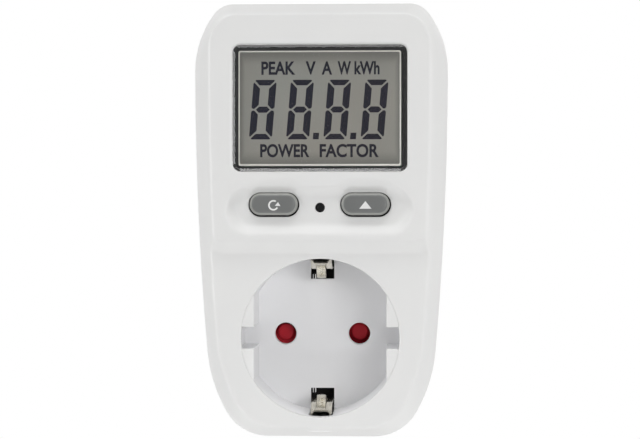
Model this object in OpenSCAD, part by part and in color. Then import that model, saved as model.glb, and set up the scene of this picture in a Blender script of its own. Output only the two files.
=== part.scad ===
// Plug-in energy meter with a front socket: a two-piece white case that hangs on its own mains plug,
// a segment display in the raised upper panel, two keys, a recessed reset pin and an earthed socket below.
// The origin is the centre of the plug's end face. +X is right as seen from the front, +Y runs into the
// wall outlet and +Z is up. All lengths are in millimetres.

/* [Case] */
// Width of the case at its widest
body_w = 63.6; // [63:0.2:68]
// Height of the top edge over the socket axis
body_top = 83.5; // [83:0.5:88]
// Depth of the bottom edge under the socket axis
body_bottom = 25.2; // [25:0.2:27]
// Depth of the case from the rear face to the socket plane
body_depth = 38.5; // [38.5:0.5:44]
// Wall thickness of both covers
wall = 2; // [1.8:0.1:2.1]
// Height of the upper panel over the socket plane
panel_rise = 2; // [1.8:0.1:2.2]
// Depth of the bevel band behind the upper panel
bevel_depth = 10; // [9.5:0.25:10.5]
// Width of the bevel band at the sides
bevel_side = 4.45; // [4:0.05:4.6]
// Distance of the parting line behind the upper panel
split_back = 20.5; // [19:0.5:22]

/* [Display] */
// Distance from the window to each side of the case
win_side = 10.4; // [10.3:0.05:11.3]
// Height of the window
win_h = 30.7; // [29:0.1:31]
// Height of the window centre over the socket axis
win_z = 57; // [56.5:0.1:57.2]
// Corner radius of the window
win_r = 2; // [1.5:0.1:2.5]
// Border between the window edge and the display glass
win_border = 1.35; // [1.2:0.05:1.6]

/* [Keys] */
// Length of a key cap
key_w = 11.9; // [11:0.1:12.5]
// Height of a key cap
key_h = 5.3; // [5:0.1:5.6]
// Distance of each key from the centre line
key_x = 11.4; // [11:0.1:12]
// Height of the keys over the socket axis
key_z = 32.8; // [32.4:0.1:33.2]
// Gap round a key cap
key_gap = 0.25; // [0.2:0.05:0.3]
// Travel of a key
key_travel = 0.5; // [0.3:0.05:0.6]
// Radius of the reset hole
reset_r = 1.2; // [1.1:0.05:1.4]
// Travel of the reset pin
reset_travel = 0.3; // [0.2:0.05:0.4]

/* [Socket] */
// Radius of the socket recess
recess_r = 19.6; // [19.5:0.05:19.8]
// Depth of the socket recess
recess_depth = 17.5; // [17:0.25:18]
// Thickness of the recess floor
floor_t = 2.5; // [2.2:0.1:2.8]
// Distance of the guide flats from the centre
flat_x = 16.4; // [16.2:0.1:16.6]
// Width of the guide notch in each flat
notch_w = 5.4; // [5.2:0.1:5.8]
// Distance between the two pin centres
pin_spacing = 19; // [19:0.1:19.2]
// Radius of the pin holes in the recess floor
hole_r = 2.75; // [2.7:0.05:2.9]

/* [Plug] */
// Distance from the rear face to the plug's end face
plug_reach = 17; // [16.5:0.25:17.5]
// Radius of the plug body
boss_r = 18.3; // [18.2:0.05:18.5]
// Radius of a plug pin
pin_r = 2.4; // [2.35:0.05:2.4]
// Length of a plug pin
pin_len = 19; // [18.5:0.25:19.5]

/* [Shutter] */
// Thickness of the safety shutter
shutter_t = 3.6; // [3.4:0.1:3.8]
// Gap in front of and behind the shutter
shutter_gap = 0.3; // [0.25:0.05:0.4]
// Width of a shutter arm
arm_w = 6.8; // [6.6:0.1:6.9]
// Turn of the shutter when both pins push
shutter_open = 42; // [41.5:0.5:44]

/* [Earth contacts] */
// Width of an earth clip
clip_w = 5.4; // [5:0.1:5.5]
// Sheet thickness of an earth clip
clip_t = 0.6; // [0.5:0.05:0.7]

/* [Hidden] */

$fn = 64;

// Depth stations from the wall side to the front
y_rear = -plug_reach;
y_socket = y_rear - body_depth;
y_panel = y_socket - panel_rise;
y_edge = y_panel + bevel_depth;
y_split = y_panel + split_back;
y_floor = y_socket + recess_depth;
y_floor_back = y_floor + floor_t;
y_shutter = y_floor_back + shutter_gap;
y_shutter_back = y_shutter + shutter_t;
y_plate = y_shutter_back + shutter_gap;
plate_t = 2.4;
y_plate_back = y_plate + plate_t;

// Case outline: a long side arc with a two-radius corner at the top and at the bottom
side_r = 831;
side_z = 67.8;
top_r1 = 5.9;
top_r2 = 24.1;
top_turn = 37;
bottom_r1 = 12.05;
bottom_r2 = 37.6;
bottom_turn = -30;
bevel_top = 0.79 * bevel_side;
bevel_bottom = 0.85 * bevel_side;

// Edges of the upper panel at its foot and at its face
panel_foot_z = 20.8;
panel_face_z = 23.9;

// Clearance between pieces that are pushed together, and overshoot of a cut past the face it opens
fit = 0.1;
cut = 1;
thread_slack = 0.05;

// Case screws, the top pair set from the case edges and the bottom pair on a circle round the cup
screw_r = 1.25;
screw_len = 11;
screw_head_r = 2.3;
screw_head_h = 1.8;
screw_post_r = 3;
screw_column_r = 3.2;
screw_side = 9.8;
screw_top = 6.9;
screw_orbit_gap = 0.6;
screw_turn = 47.3;
boss_up = 1;
seat_t = 2.5;
y_boss = y_split + boss_up;
y_seat = y_boss + seat_t;

// Lip of the rear cover that enters the front cover
lip_h = 1.6;
lip_inset = wall / 2;
rear_draft = 0.8;
rear_round = 2.4;

// Rating label on the rear face
label_w = 34;
label_h = 22;
label_z = 52;
label_t = 0.2;
label_sink = 0.4;
label_r = 1.5;

// Display stack behind the panel
win_w = body_w - 2 * win_side;
window_flange = 1;
flange_t = 1;
board_set = 9.5;
y_flange = y_panel + wall;
y_frame = y_flange + flange_t;
y_board = y_panel + board_set;
board_t = 1.6;
y_board_back = y_board + board_t;
glass_w = win_w - 2 * win_border;
glass_h = win_h - 2 * win_border;
y_glass = y_frame + fit;
glass_t = 2.2;

// Key dish and switches
dish_side = 8.45;
dish_w = body_w - 2 * dish_side;
dish_h = 14.7;
dish_z = 32.1;
dish_depth = 1.8;
dish_floor_t = 1.4;
y_dish = y_panel + dish_depth;
y_dish_back = y_dish + dish_floor_t;
key_sink = 0.2;
switch_h = 3.2;
switch_w = 6;
reset_switch_w = 4.6;
plunger_out = 1.2;
reset_drop = 0.55;
y_key = y_panel + key_sink;
y_switch = y_board - switch_h;
y_cap_post = y_switch - plunger_out;
reset_z = key_z - reset_drop;
dish_slope = 2.4;
key_flange = 1;
key_flange_t = 0.8;
key_round = 0.5;
key_post_r = 1.8;
plunger_r = 1.5;
plunger_in = 0.8;
reset_sink = 0.7;
reset_pin_r = reset_r - key_gap;
reset_dimple = 0.3;
reset_rim = 0.4;

// Board outline and posts
board_side = 4.4;
board_foot = 1.6;
board_top = 8.9;
board_hw = body_w / 2 - board_side;
board_z0 = panel_face_z + board_foot;
board_z1 = body_top - board_top;
post_in = 2.4;
post_top = 5.6;
post_foot = 4.5;
post_x = board_hw - post_in;
post_xz = [for (x = [post_x, -post_x], z = [board_z1 - post_top, board_z0 + post_foot]) [x, z]];
post_r = 2;
post_screw_r = 0.85;
post_screw_len = 6;
small_head_r = 1.9;
small_head_h = 1.3;

// Socket cup with the floor let into its back, and the stakes that hold its flange
cup_wall = 1.3;
cup_flange = 2.5;
cup_r = recess_r + cup_wall;
cup_flange_r = cup_r + cup_flange;
cup_flange_t = 1.6;
y_cup = y_socket + wall;
floor_lap = 0.6;
floor_r = recess_r + floor_lap;
rib_sink = 0.3;
rib_gap = 0.15;
notch_sink = 0.4;
slot_gap = 0.3;
slot_w = clip_w + 2 * slot_gap;
slot_r = 14;
slot_top = 24;
slot_front = 0.9;
mouth_edge = 0.3;
hole_edge = 0.25;
stake_r = 0.75;
stake_out = 1.2;
stake_head = 0.35;
stake_head_h = 0.6;
stake_xz = [for (a = [20, 160, 200, 340]) (cup_r + stake_out) * [cos(a), sin(a)]];
pin_x = pin_spacing / 2;

// Places of the four case screws
screw_x = body_w / 2 - screw_side;
screw_z = body_top - screw_top;
screw_orbit = cup_r + screw_post_r + screw_orbit_gap;
screw_xz = concat(
  [[screw_x, screw_z], [-screw_x, screw_z]],
  [for (s = [1, -1]) screw_orbit * [s * cos(screw_turn), -sin(screw_turn)]]
);

// Shutter stud and stops, and the screws of the contact carrier
pivot_r = 2.8;
hub_r = 6;
stop_r = 1.2;
stop_x = 10.5;
stop_gap = 0.05;
stop_z = arm_w / 2 + stop_r + stop_gap;
carrier_at = 11.7;
carrier_xz = [[-carrier_at, carrier_at], [carrier_at, -carrier_at]];
carrier_screw_r = 0.95;
carrier_screw_len = 6;
carrier_post_r = 2.2;

// Contacts and plug pins
contact_slack = 0.05;
contact_t = 0.85;
bush_t = 1.6;
contact_bore_r = pin_r + contact_slack;
contact_r = contact_bore_r + contact_t;
bush_r = contact_r + bush_t;
base_t = 1;
tab_w = 4.4;
tab_h = 7.6;
slit_w = 1;
y_base = y_rear + fit;
rivet_r = 1.2;
rivet_head_r = 1.9;
rivet_head_h = 0.6;
pin_root = 0.3;
pin_root_r = pin_r + pin_root;
collar_r = 3.6;
collar_t = 1.2;
collar_set = 8.2;
y_collar = -collar_set;
tip_h = 1.6;
shunt_w = 5.2;
shunt_t = 0.8;
shunt_top = 5;

// Plug body: hollow inside, with channels for the earth arms and flats with guide ribs at the sides
boss_face_t = 3;
boss_edge = 1.2;
boss_hollow_x = 13.6;
boss_hollow_z = 12.6;
boss_hollow_r = 16;
pin_tower_r = 4.4;
channel_hw = 2.9;
channel_r = 16.4;
channel_slot = 18.1;
guide_gap = 0.3;

// Earth strap
clip_z = 18.5;
strap_hw = 2.6;
strap_t = 0.8;
arm_hw = 2.5;
arm_z = 17.2;
arm_bow = 0.5;
arm_start = 15;
arm_stop = 5;

function unit(v) = v / norm(v);

function arc(c, r, a0, a1, n) =
  [for (i = [0:n - 1]) c + r * [cos(a0 + (a1 - a0) * i / n), sin(a0 + (a1 - a0) * i / n)]];

// Right half of an outline with inset side d, top zt, bottom zb and corner radii
function half_ring(d, zt, zb, r1, r2, r3, r4) =
  let (cs = [body_w / 2 - d - side_r, side_z])
  let (st = asin((zt - side_z - (r2 - r1) * sin(top_turn) - r1) / (side_r - r2)))
  let (c2 = cs + (side_r - r2) * [cos(st), sin(st)])
  let (c1 = c2 + (r2 - r1) * [cos(top_turn), sin(top_turn)])
  let (sb = asin((zb - side_z - (r4 - r3) * sin(bottom_turn) + r3) / (side_r - r4)))
  let (c4 = cs + (side_r - r4) * [cos(sb), sin(sb)])
  let (c3 = c4 + (r4 - r3) * [cos(bottom_turn), sin(bottom_turn)])
  concat(
    arc(c3, r3, -90, bottom_turn, 6),
    arc(c4, r4, bottom_turn, sb, 5),
    arc(cs, side_r, sb, st, 6),
    arc(c2, r2, st, top_turn, 5),
    arc(c1, r1, top_turn, 90, 6),
    [c1 + [0, r1]]
  );

function ring(d, zt, zb, r1, r2, r3, r4) =
  let (h = half_ring(d, zt, zb, r1, r2, r3, r4))
  let (n = len(h))
  concat(h, [for (i = [n - 1:-1:0]) [-h[i][0], h[i][1]]]);

// Outline of the case inset all round by d
function case_ring(d) =
  ring(d, body_top - d, d - body_bottom, max(top_r1 - d, 1), top_r2 - d, bottom_r1 - d, bottom_r2 - d);

// Outline on the bevel band, with t running from 0 at the side wall to 1 at the panel face
function bevel_ring(t, d, zb, r3, r4) =
  let (k = pow(t, 1.2))
  ring(
    k * bevel_side + d, body_top - k * bevel_top - d, zb,
    max(top_r1 - d, 1), top_r2 + k * (9 - top_r2) - d, r3, r4
  );

function bevel_t(y) = (y_edge - y) / bevel_depth;

function front_ring(y, d) =
  let (k = pow(max(bevel_t(y), 0), 1.2))
  bevel_ring(max(bevel_t(y), 0), d, k * bevel_bottom + d - body_bottom, bottom_r1 - d, bottom_r2 - d);

function panel_ring(y, d, zb, r) = bevel_ring(bevel_t(y), d, zb, r, r);

// Solid between outlines set at rising depths, each given as a depth and an outline
module skin(rings) {
  n = len(rings[0][1]);
  m = len(rings);
  points = [for (r = rings) for (p = r[1]) [p[0], r[0], p[1]]];
  side_a = [for (i = [0:m - 2]) for (j = [0:n - 1]) [i * n + j, i * n + (j + 1) % n, (i + 1) * n + j]];
  side_b = [
    for (i = [0:m - 2]) for (j = [0:n - 1])
      [i * n + (j + 1) % n, (i + 1) * n + (j + 1) % n, (i + 1) * n + j]
  ];
  caps = [[for (j = [n - 1:-1:0]) j], [for (j = [0:n - 1]) (m - 1) * n + j]];
  polyhedron(points, concat(caps, side_a, side_b), convexity = 6);
}

// Flat shape drawn in X and Z, raised from depth y0 to y1
module slab(y0, y1) {
  translate([0, y1, 0]) rotate([90, 0, 0]) linear_extrude(y1 - y0) children();
}

// Flat shape drawn in Y and Z, raised from x0 to x1
module prism(x0, x1) {
  translate([x0, 0, 0]) rotate([90, 0, 90]) linear_extrude(x1 - x0) children();
}

// Round bar along Y
module rod(xz, y0, y1, r) {
  translate([xz[0], y1, xz[1]]) rotate([90, 0, 0]) cylinder(r = r, h = y1 - y0);
}

// Cone along Y with radius r0 at y0 and r1 at y1
module cone(xz, y0, y1, r0, r1) {
  translate([xz[0], y1, xz[1]]) rotate([90, 0, 0]) cylinder(r1 = r1, r2 = r0, h = y1 - y0);
}

// Box between two corners
module block(a, b) {
  translate(a) cube(b - a);
}

// Oval with straight long sides
module oval(w, h) {
  square([w - h, h], center = true);
  translate([(w - h) / 2, 0]) circle(d = h);
  translate([(h - w) / 2, 0]) circle(d = h);
}

// Rectangle with round corners
module panel_shape(w, h, r) {
  square([w - 2 * r, h], center = true);
  square([w, h - 2 * r], center = true);
  for (sx = [-1, 1], sz = [-1, 1]) translate([sx * (w / 2 - r), sz * (h / 2 - r)]) circle(r);
}

// Tube of radius r along a path, with a side vector given at each point
module tube(path, side, r, k = 10) {
  n = len(path);
  points = [
    for (i = [0:n - 1])
      let (t = unit(path[min(i + 1, n - 1)] - path[max(i - 1, 0)]))
      let (s = unit(side[i] - (side[i] * t) * t))
      let (b = cross(t, s))
      for (j = [0:k - 1]) path[i] + r * (cos(360 * j / k) * s + sin(360 * j / k) * b)
  ];
  side_a = [for (i = [0:n - 2]) for (j = [0:k - 1]) [i * k + j, (i + 1) * k + j, i * k + (j + 1) % k]];
  side_b = [
    for (i = [0:n - 2]) for (j = [0:k - 1])
      [i * k + (j + 1) % k, (i + 1) * k + j, (i + 1) * k + (j + 1) % k]
  ];
  caps = [[for (j = [0:k - 1]) j], [for (j = [k - 1:-1:0]) (n - 1) * k + j]];
  polyhedron(points, concat(caps, side_a, side_b), convexity = 6);
}

// Outer form of the front cover with the sloped step under the panel
module front_body() {
  step_slope = (panel_face_z - panel_foot_z) / panel_rise;
  over = 0.6;
  above = 0.5;
  difference() {
    skin([
      for (y = [y_panel, y_panel + 0.3 * bevel_depth, y_panel + 0.65 * bevel_depth, y_edge, y_split])
        [y, front_ring(y, 0)]
    ]);
    difference() {
      block([-body_w, y_panel - 3, -body_top], [body_w, y_socket, panel_face_z + 4]);
      skin([
        [y_panel - above, panel_ring(y_panel, -over, panel_face_z + above * step_slope, 2.5)],
        [y_panel, panel_ring(y_panel, -over, panel_face_z, 2.9)],
        [y_socket + 0.01, panel_ring(y_socket, -over, panel_foot_z, 3.6)]
      ]);
    }
  }
}

// Space inside the front cover: behind the socket plane, behind the panel and at the lip
module front_space() {
  skin([
    for (y = [y_cup, y_edge - 2, y_edge, y_split + cut])
      [y, front_ring(y, wall)]
  ]);
  skin([
    for (y = [y_flange, y_cup + 0.2])
      [y, panel_ring(y, wall + 0.4, panel_face_z + wall, 2)]
  ]);
  skin([
    for (y = [y_split - lip_h - 2 * fit, y_split + cut])
      [y, case_ring(lip_inset)]
  ]);
}

// Posts inside the front cover for the case screws and the board
module front_posts() {
  intersection() {
    union() {
      for (p = screw_xz) rod(p, y_panel, y_boss, screw_post_r);
      for (p = post_xz) rod(p, y_panel, y_board, post_r);
    }
    union() {
      front_body();
      skin([for (y = [y_split - cut, y_boss + cut]) [y, case_ring(lip_inset + wall)]]);
    }
  }
}

// Shallow dish that sinks the keys into the panel
module key_dish() {
  hull() {
    for (s = [-1, 1])
      cone(
        [s * (dish_w - dish_h) / 2, dish_z], y_panel - 0.02, y_dish,
        dish_h / 2, dish_h / 2 - dish_slope, $fn = 48
      );
  }
}

module front_cover() {
  y_stake = y_cup + cup_flange_t;
  color([0.93, 0.93, 0.92]) difference() {
    union() {
      difference() {
        front_body();
        front_space();
      }
      slab(y_dish - dish_floor_t / 3, y_dish_back) translate([0, dish_z]) oval(dish_w, dish_h);
      front_posts();
      for (p = stake_xz) rod(p, y_cup - wall / 4, y_stake + fit, stake_r);
      for (p = stake_xz) rod(p, y_stake, y_stake + stake_head_h, stake_r + stake_head);
    }
    slab(y_panel - cut, y_flange + cut) translate([0, win_z]) panel_shape(win_w, win_h, win_r);
    key_dish();
    for (s = [-1, 1])
      slab(y_dish - cut, y_dish_back + cut) translate([s * key_x, key_z])
        oval(key_w + 2 * key_gap, key_h + 2 * key_gap);
    rod([0, reset_z], y_dish - cut, y_dish_back + cut, reset_r);
    rod([0, 0], y_panel - cut, y_cup + cut, recess_r);
    cone([0, 0], y_socket - 0.01, y_socket + mouth_edge, recess_r + mouth_edge + 0.01, recess_r);
    for (p = screw_xz) rod(p, y_boss - screw_len + seat_t / 2, y_boss + cut, screw_r + thread_slack);
    for (p = post_xz) rod(p, y_board - post_screw_len + 0.5, y_board + cut, post_screw_r + thread_slack);
  }
}

// Outer form of the rear cover: drafted sides, rounded rear edge and the lip
module rear_body() {
  skin([
    [y_split, case_ring(0)],
    for (a = [0:30:90])
      [y_rear - rear_round * (1 - sin(a)), case_ring(rear_draft + rear_round * (1 - cos(a)))]
  ]);
  skin([
    for (y = [y_split - lip_h, y_split + 0.5])
      [y, case_ring(lip_inset + fit)]
  ]);
}

module rear_space() {
  skin([
    [y_split - lip_h - cut, case_ring(wall)],
    [y_split, case_ring(wall)],
    [y_rear - wall - 1.6, case_ring(wall + rear_draft)],
    [y_rear - wall, case_ring(wall + rear_draft + 1.2)]
  ]);
}

// Plug body with side flats, guide ribs and a small edge round its end face
module plug_body() {
  y0 = y_rear - wall;
  intersection() {
    union() {
      block([guide_gap - flat_x, y0, -boss_r], [flat_x - guide_gap, cut, boss_r]);
      block([-boss_r, y0, guide_gap - notch_w / 2], [boss_r, cut, notch_w / 2 - guide_gap]);
    }
    union() {
      rod([0, 0], y0, -boss_edge, boss_r);
      cone([0, 0], -boss_edge, 0, boss_r, boss_r - boss_edge);
    }
  }
}

module plug_hollow(y1) {
  y0 = y_rear - wall - cut;
  intersection() {
    block([-boss_hollow_x, y0, -boss_hollow_z], [boss_hollow_x, y1, boss_hollow_z]);
    rod([0, 0], y0, y1, boss_hollow_r);
  }
}

module rear_cover() {
  y_tower = y_collar + collar_t;
  color([0.93, 0.93, 0.92]) difference() {
    union() {
      difference() {
        rear_body();
        rear_space();
      }
      for (p = screw_xz) rod(p, y_boss, y_rear - wall / 2, screw_column_r);
      difference() {
        plug_body();
        plug_hollow(-boss_face_t);
      }
      for (s = [-1, 1]) rod([s * pin_x, 0], y_tower, 0.5 - boss_face_t, pin_tower_r);
    }
    plug_hollow(y_tower - cut);
    for (s = [0, 1]) mirror([0, 0, s]) {
      block([-channel_hw, y_rear - wall - cut, channel_r], [channel_hw, y_rear + cut, channel_slot]);
      block([-channel_hw, y_rear, channel_r], [channel_hw, cut, boss_r + cut]);
    }
    for (s = [-1, 1]) rod([s * pin_x, 0], y_tower - cut, cut, pin_root_r);
    for (p = screw_xz) rod(p, y_seat, y_rear + cut, screw_head_r + 0.2);
    for (p = screw_xz) rod(p, y_boss - cut, y_seat + cut, screw_r + 0.35);
    slab(y_rear - label_sink, y_rear + cut) translate([0, label_z]) panel_shape(label_w, label_h, label_r);
  }
}

module rating_label() {
  color([0.8, 0.81, 0.82]) slab(y_rear - label_sink, y_rear - label_sink + label_t)
    translate([0, label_z]) panel_shape(label_w - 4 * fit, label_h - 4 * fit, label_r - 2 * fit);
}

// Guide ribs beside the recess, running from the floor almost to the socket plane
module cup_ribs(y0, r) {
  intersection() {
    rod([0, 0], y0, y_floor, r);
    for (s = [0, 1]) mirror([s, 0, 0])
      block([flat_x, y_socket, -recess_r], [cup_r, y_floor, recess_r]);
  }
}

// Cuts through the cup and its floor that let the earth clips into the recess
module clip_slots() {
  for (s = [0, 1]) mirror([0, 0, s])
    block([-slot_w / 2, y_cup + slot_front, slot_r], [slot_w / 2, y_plate + cut, slot_top]);
}

module socket_cup() {
  notch_x = recess_r + notch_sink;
  color([0.92, 0.92, 0.92]) difference() {
    union() {
      difference() {
        union() {
          rod([0, 0], y_cup, y_plate, cup_r);
          intersection() {
            rod([0, 0], y_cup, y_cup + cup_flange_t, cup_flange_r);
            block([-cup_flange_r, y_socket, 0.05 - cup_r], [cup_flange_r, y_floor, cup_flange_r]);
          }
        }
        rod([0, 0], y_socket, y_floor + cut, recess_r);
        rod([0, 0], y_floor, y_plate + cut, floor_r);
        for (p = screw_xz) rod(p, y_socket, y_floor, screw_post_r + slot_gap);
        for (p = stake_xz) rod(p, y_socket, y_floor, stake_r + fit);
      }
      cup_ribs(y_socket + rib_sink, recess_r - rib_gap);
      cup_ribs(y_cup + 2 * fit, recess_r + cup_wall / 2);
    }
    block([-notch_x, y_socket, -notch_w / 2], [notch_x, y_floor, notch_w / 2]);
    clip_slots();
  }
}

// Floor of the recess with the pin holes, and behind it the stud and the stops of the shutter
module socket_floor() {
  y_stud = y_plate - fit;
  y_root = y_floor_back - floor_t / 5;
  color([0.92, 0.92, 0.92]) difference() {
    union() {
      rod([0, 0], y_floor, y_floor_back, floor_r - fit);
      for (p = carrier_xz) rod(p, y_root, y_plate, carrier_post_r);
      rod([0, 0], y_root, y_stud, pivot_r);
      for (s = [-1, 1]) rod([s * stop_x, -s * stop_z], y_root, y_stud, stop_r);
      for (s = [-1, 1]) rotate([0, -shutter_open, 0]) rod([s * stop_x, s * stop_z], y_root, y_stud, stop_r);
    }
    for (s = [-1, 1]) rod([s * pin_x, 0], y_floor - cut, y_floor_back + cut, hole_r);
    for (s = [-1, 1])
      cone([s * pin_x, 0], y_floor - 0.01, y_floor + hole_edge, hole_r + hole_edge + 0.01, hole_r);
    clip_slots();
    for (p = carrier_xz) rod(p, y_floor_back - floor_t / 2, y_plate + cut, carrier_screw_r + thread_slack);
  }
}

module lcd_window() {
  edge = 0.3;
  chamfer = 0.65;
  w = win_w - 2 * fit;
  h = win_h - 2 * fit;
  flange = 2 * window_flange;
  color([0.75, 0.8, 0.82, 0.5]) {
    slab(y_panel + edge, y_frame) translate([0, win_z]) panel_shape(w, h, win_r - fit);
    slab(y_flange, y_frame) translate([0, win_z]) panel_shape(win_w + flange, win_h + flange, win_r);
    hull() {
      slab(y_panel + edge - 0.02, y_panel + edge) translate([0, win_z])
        panel_shape(w, h, win_r - fit, $fn = 32);
      slab(y_panel - edge, y_panel - edge + 0.02) translate([0, win_z])
        panel_shape(w - 2 * chamfer, h - 2 * chamfer, win_r - chamfer, $fn = 32);
    }
  }
}

module lcd_frame() {
  flange = 2 * window_flange;
  color([0.06, 0.06, 0.06]) difference() {
    slab(y_frame, y_board) translate([0, win_z]) panel_shape(win_w + flange, win_h + flange, win_r);
    slab(y_frame - cut, y_board + cut) translate([0, win_z])
      square([glass_w + 2 * fit, glass_h + 2 * fit], center = true);
  }
}

module lcd_glass() {
  color([0.5, 0.5, 0.46]) slab(y_glass, y_glass + glass_t) translate([0, win_z])
    square([glass_w, glass_h], center = true);
}

module zebra_strips() {
  strip_end = 2;
  strip_h = 2.2;
  strip_in = 1.6;
  color([0.85, 0.55, 0.6]) for (s = [-1, 1])
    slab(y_glass + glass_t, y_board) translate([0, win_z + s * (glass_h / 2 - strip_in)])
      square([glass_w - 2 * strip_end, strip_h], center = true);
}

module main_board() {
  color([0.1, 0.35, 0.2]) difference() {
    block([-board_hw, y_board, board_z0], [board_hw, y_board_back, board_z1]);
    for (p = screw_xz) rod(p, y_board - cut, y_board_back + cut, screw_post_r + 4 * fit);
    for (p = post_xz) rod(p, y_board - cut, y_board_back + cut, post_screw_r + 3 * fit);
  }
}

// Key cap with its retaining flange and the post that presses the switch
module key_cap(x) {
  y_back = y_dish_back + fit;
  color([0.45, 0.46, 0.45]) {
    slab(y_key + key_round, y_back + key_flange_t) translate([x, key_z]) oval(key_w, key_h);
    hull() {
      slab(y_key + key_round - 0.02, y_key + key_round) translate([x, key_z])
        oval(key_w, key_h, $fn = 32);
      slab(y_key, y_key + 0.02) translate([x, key_z])
        oval(key_w - 2 * key_round, key_h - 2 * key_round, $fn = 32);
    }
    slab(y_back, y_back + key_flange_t) translate([x, key_z])
      oval(key_w + 2 * key_flange, key_h + 2 * key_flange);
    rod([x, key_z], y_back, y_cap_post, key_post_r);
  }
}

module mode_button() {
  key_cap(-key_x);
}

module up_button() {
  key_cap(key_x);
}

// Housing of a push switch with four solder legs and a bore that the plunger sinks into
module switch_body(x, z, w, r, travel) {
  leg_w = 1.2;
  leg_t = 0.3;
  leg_h = 0.8;
  color([0.15, 0.15, 0.16]) difference() {
    union() {
      block([x - w / 2, y_switch, z - w / 2], [x + w / 2, y_board, z + w / 2]);
      for (sx = [-1, 1], sz = [-1, 1])
        translate([x + sx * (w + leg_w) / 2 - sx * fit, y_board - leg_t / 2, z + sz * w / 3])
          cube([leg_w, leg_t, leg_h], center = true);
    }
    rod([x, z], y_switch - cut, y_switch + plunger_in + travel + 3 * fit, r);
  }
}

// Round actuator of a push switch
module switch_plunger(x) {
  color([0.1, 0.1, 0.1]) rod([x, key_z], y_cap_post, y_switch + plunger_in, plunger_r);
}

module mode_switch() {
  switch_body(-key_x, key_z, switch_w, plunger_r + fit, key_travel);
}

module mode_plunger() {
  switch_plunger(-key_x);
}

module up_switch() {
  switch_body(key_x, key_z, switch_w, plunger_r + fit, key_travel);
}

module up_plunger() {
  switch_plunger(key_x);
}

module reset_switch() {
  switch_body(0, reset_z, reset_switch_w, reset_pin_r + fit, reset_travel);
}

module reset_plunger() {
  color([0.08, 0.08, 0.08]) difference() {
    rod([0, reset_z], y_dish + reset_sink, y_switch + plunger_in, reset_pin_r);
    rod([0, reset_z], y_dish, y_dish + reset_sink + reset_dimple, reset_pin_r - reset_rim);
  }
}

module metering_chip() {
  chip_w = 12;
  chip_t = 1.6;
  chip_z = 36;
  pitch = 1.2;
  lead_w = 1.4;
  lead_t = 0.4;
  lead_h = 0.5;
  color([0.12, 0.12, 0.13]) {
    slab(y_board_back + fit, y_board_back + chip_t) translate([0, chip_z]) square(chip_w, center = true);
    for (s = [-1, 1], i = [-4:4])
      translate([s * (chip_w + lead_w) / 2 - s * fit, y_board_back + lead_t / 2, chip_z + i * pitch])
        cube([lead_w, lead_t, lead_h], center = true);
  }
}

module film_capacitor() {
  film_w = 18;
  film_t = 13;
  film_h = 9;
  film_x = -11;
  film_z = 64;
  color([0.75, 0.65, 0.2]) translate([film_x, y_board_back + film_t / 2, film_z])
    cube([film_w, film_t, film_h], center = true);
}

module filter_capacitor() {
  can_x = 12;
  can_z = 64;
  can_r = 5;
  can_h = 12;
  rim = 0.6;
  can = [can_x, can_z];
  color([0.1, 0.12, 0.3]) {
    rod(can, y_board_back, y_board_back + can_h - rim, can_r);
    cone(can, y_board_back + can_h - rim, y_board_back + can_h, can_r, can_r - rim);
  }
}

module backup_battery() {
  cell_r = 5.8;
  cell_len = 18;
  cell_z = 49;
  tag_t = 0.6;
  tag_h = 7;
  tag_w = 3;
  color([0.2, 0.5, 0.3]) {
    translate([-cell_len / 2, y_board_back + cell_r, cell_z]) rotate([0, 90, 0])
      cylinder(r = cell_r, h = cell_len);
    for (s = [-1, 1])
      translate([s * (cell_len + tag_t) / 2 - s * fit, y_board_back + tag_h / 2, cell_z])
        cube([tag_t, tag_h, tag_w], center = true);
  }
}

module varistor() {
  disc_r = 4.6;
  disc_t = 3.6;
  disc_in = 10.4;
  disc_x = board_hw - disc_in;
  disc_z = 49;
  disc_up = 6.4;
  leg_r = 0.4;
  leg_z = 2.5;
  color([0.2, 0.35, 0.6]) {
    translate([disc_x, y_board_back + disc_up, disc_z]) rotate([0, 90, 0]) cylinder(r = disc_r, h = disc_t);
    for (s = [-1, 1])
      rod([disc_x + disc_t / 2, disc_z + s * leg_z], y_board_back, y_board_back + disc_up - leg_z, leg_r);
  }
}

module shunt() {
  x0 = pin_x - shunt_w / 2;
  x1 = pin_x + shunt_w / 2;
  z0 = -shunt_w / 2;
  color([0.72, 0.48, 0.3]) difference() {
    union() {
      block([x0, y_base, z0], [x1, y_base + shunt_t, shunt_top]);
      block([x0, y_base, shunt_top - shunt_t], [x1, y_collar, shunt_top]);
      block([x0, y_collar - shunt_t, z0], [x1, y_collar, shunt_top]);
    }
    rod([pin_x, 0], y_base - cut, y_collar + cut, rivet_r + thread_slack);
  }
}

// Slotted contact sleeve on a base tab that carries the lead
module contact_sleeve(x) {
  difference() {
    union() {
      rod([x, 0], y_plate_back + 3 * fit, y_base, contact_r);
      block([x - tab_w / 2, y_base - base_t, 0], [x + tab_w / 2, y_base, tab_h]);
    }
    rod([x, 0], y_plate_back, y_base - base_t, contact_bore_r);
    block([x - slit_w / 2, y_plate_back, -contact_r - cut], [x + slit_w / 2, y_base - 2 * base_t, 0]);
    rod([x, 0], y_base - base_t - cut, y_base + cut, rivet_r);
  }
}

module line_contact() {
  y_head = y_base + shunt_t;
  color([0.8, 0.65, 0.3]) {
    contact_sleeve(pin_x);
    rod([pin_x, 0], y_base - base_t, y_head + rivet_head_h, rivet_r);
    rod([pin_x, 0], y_head, y_head + rivet_head_h, rivet_head_r);
  }
}

module neutral_contact() {
  color([0.8, 0.65, 0.3]) contact_sleeve(-pin_x);
}

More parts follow.
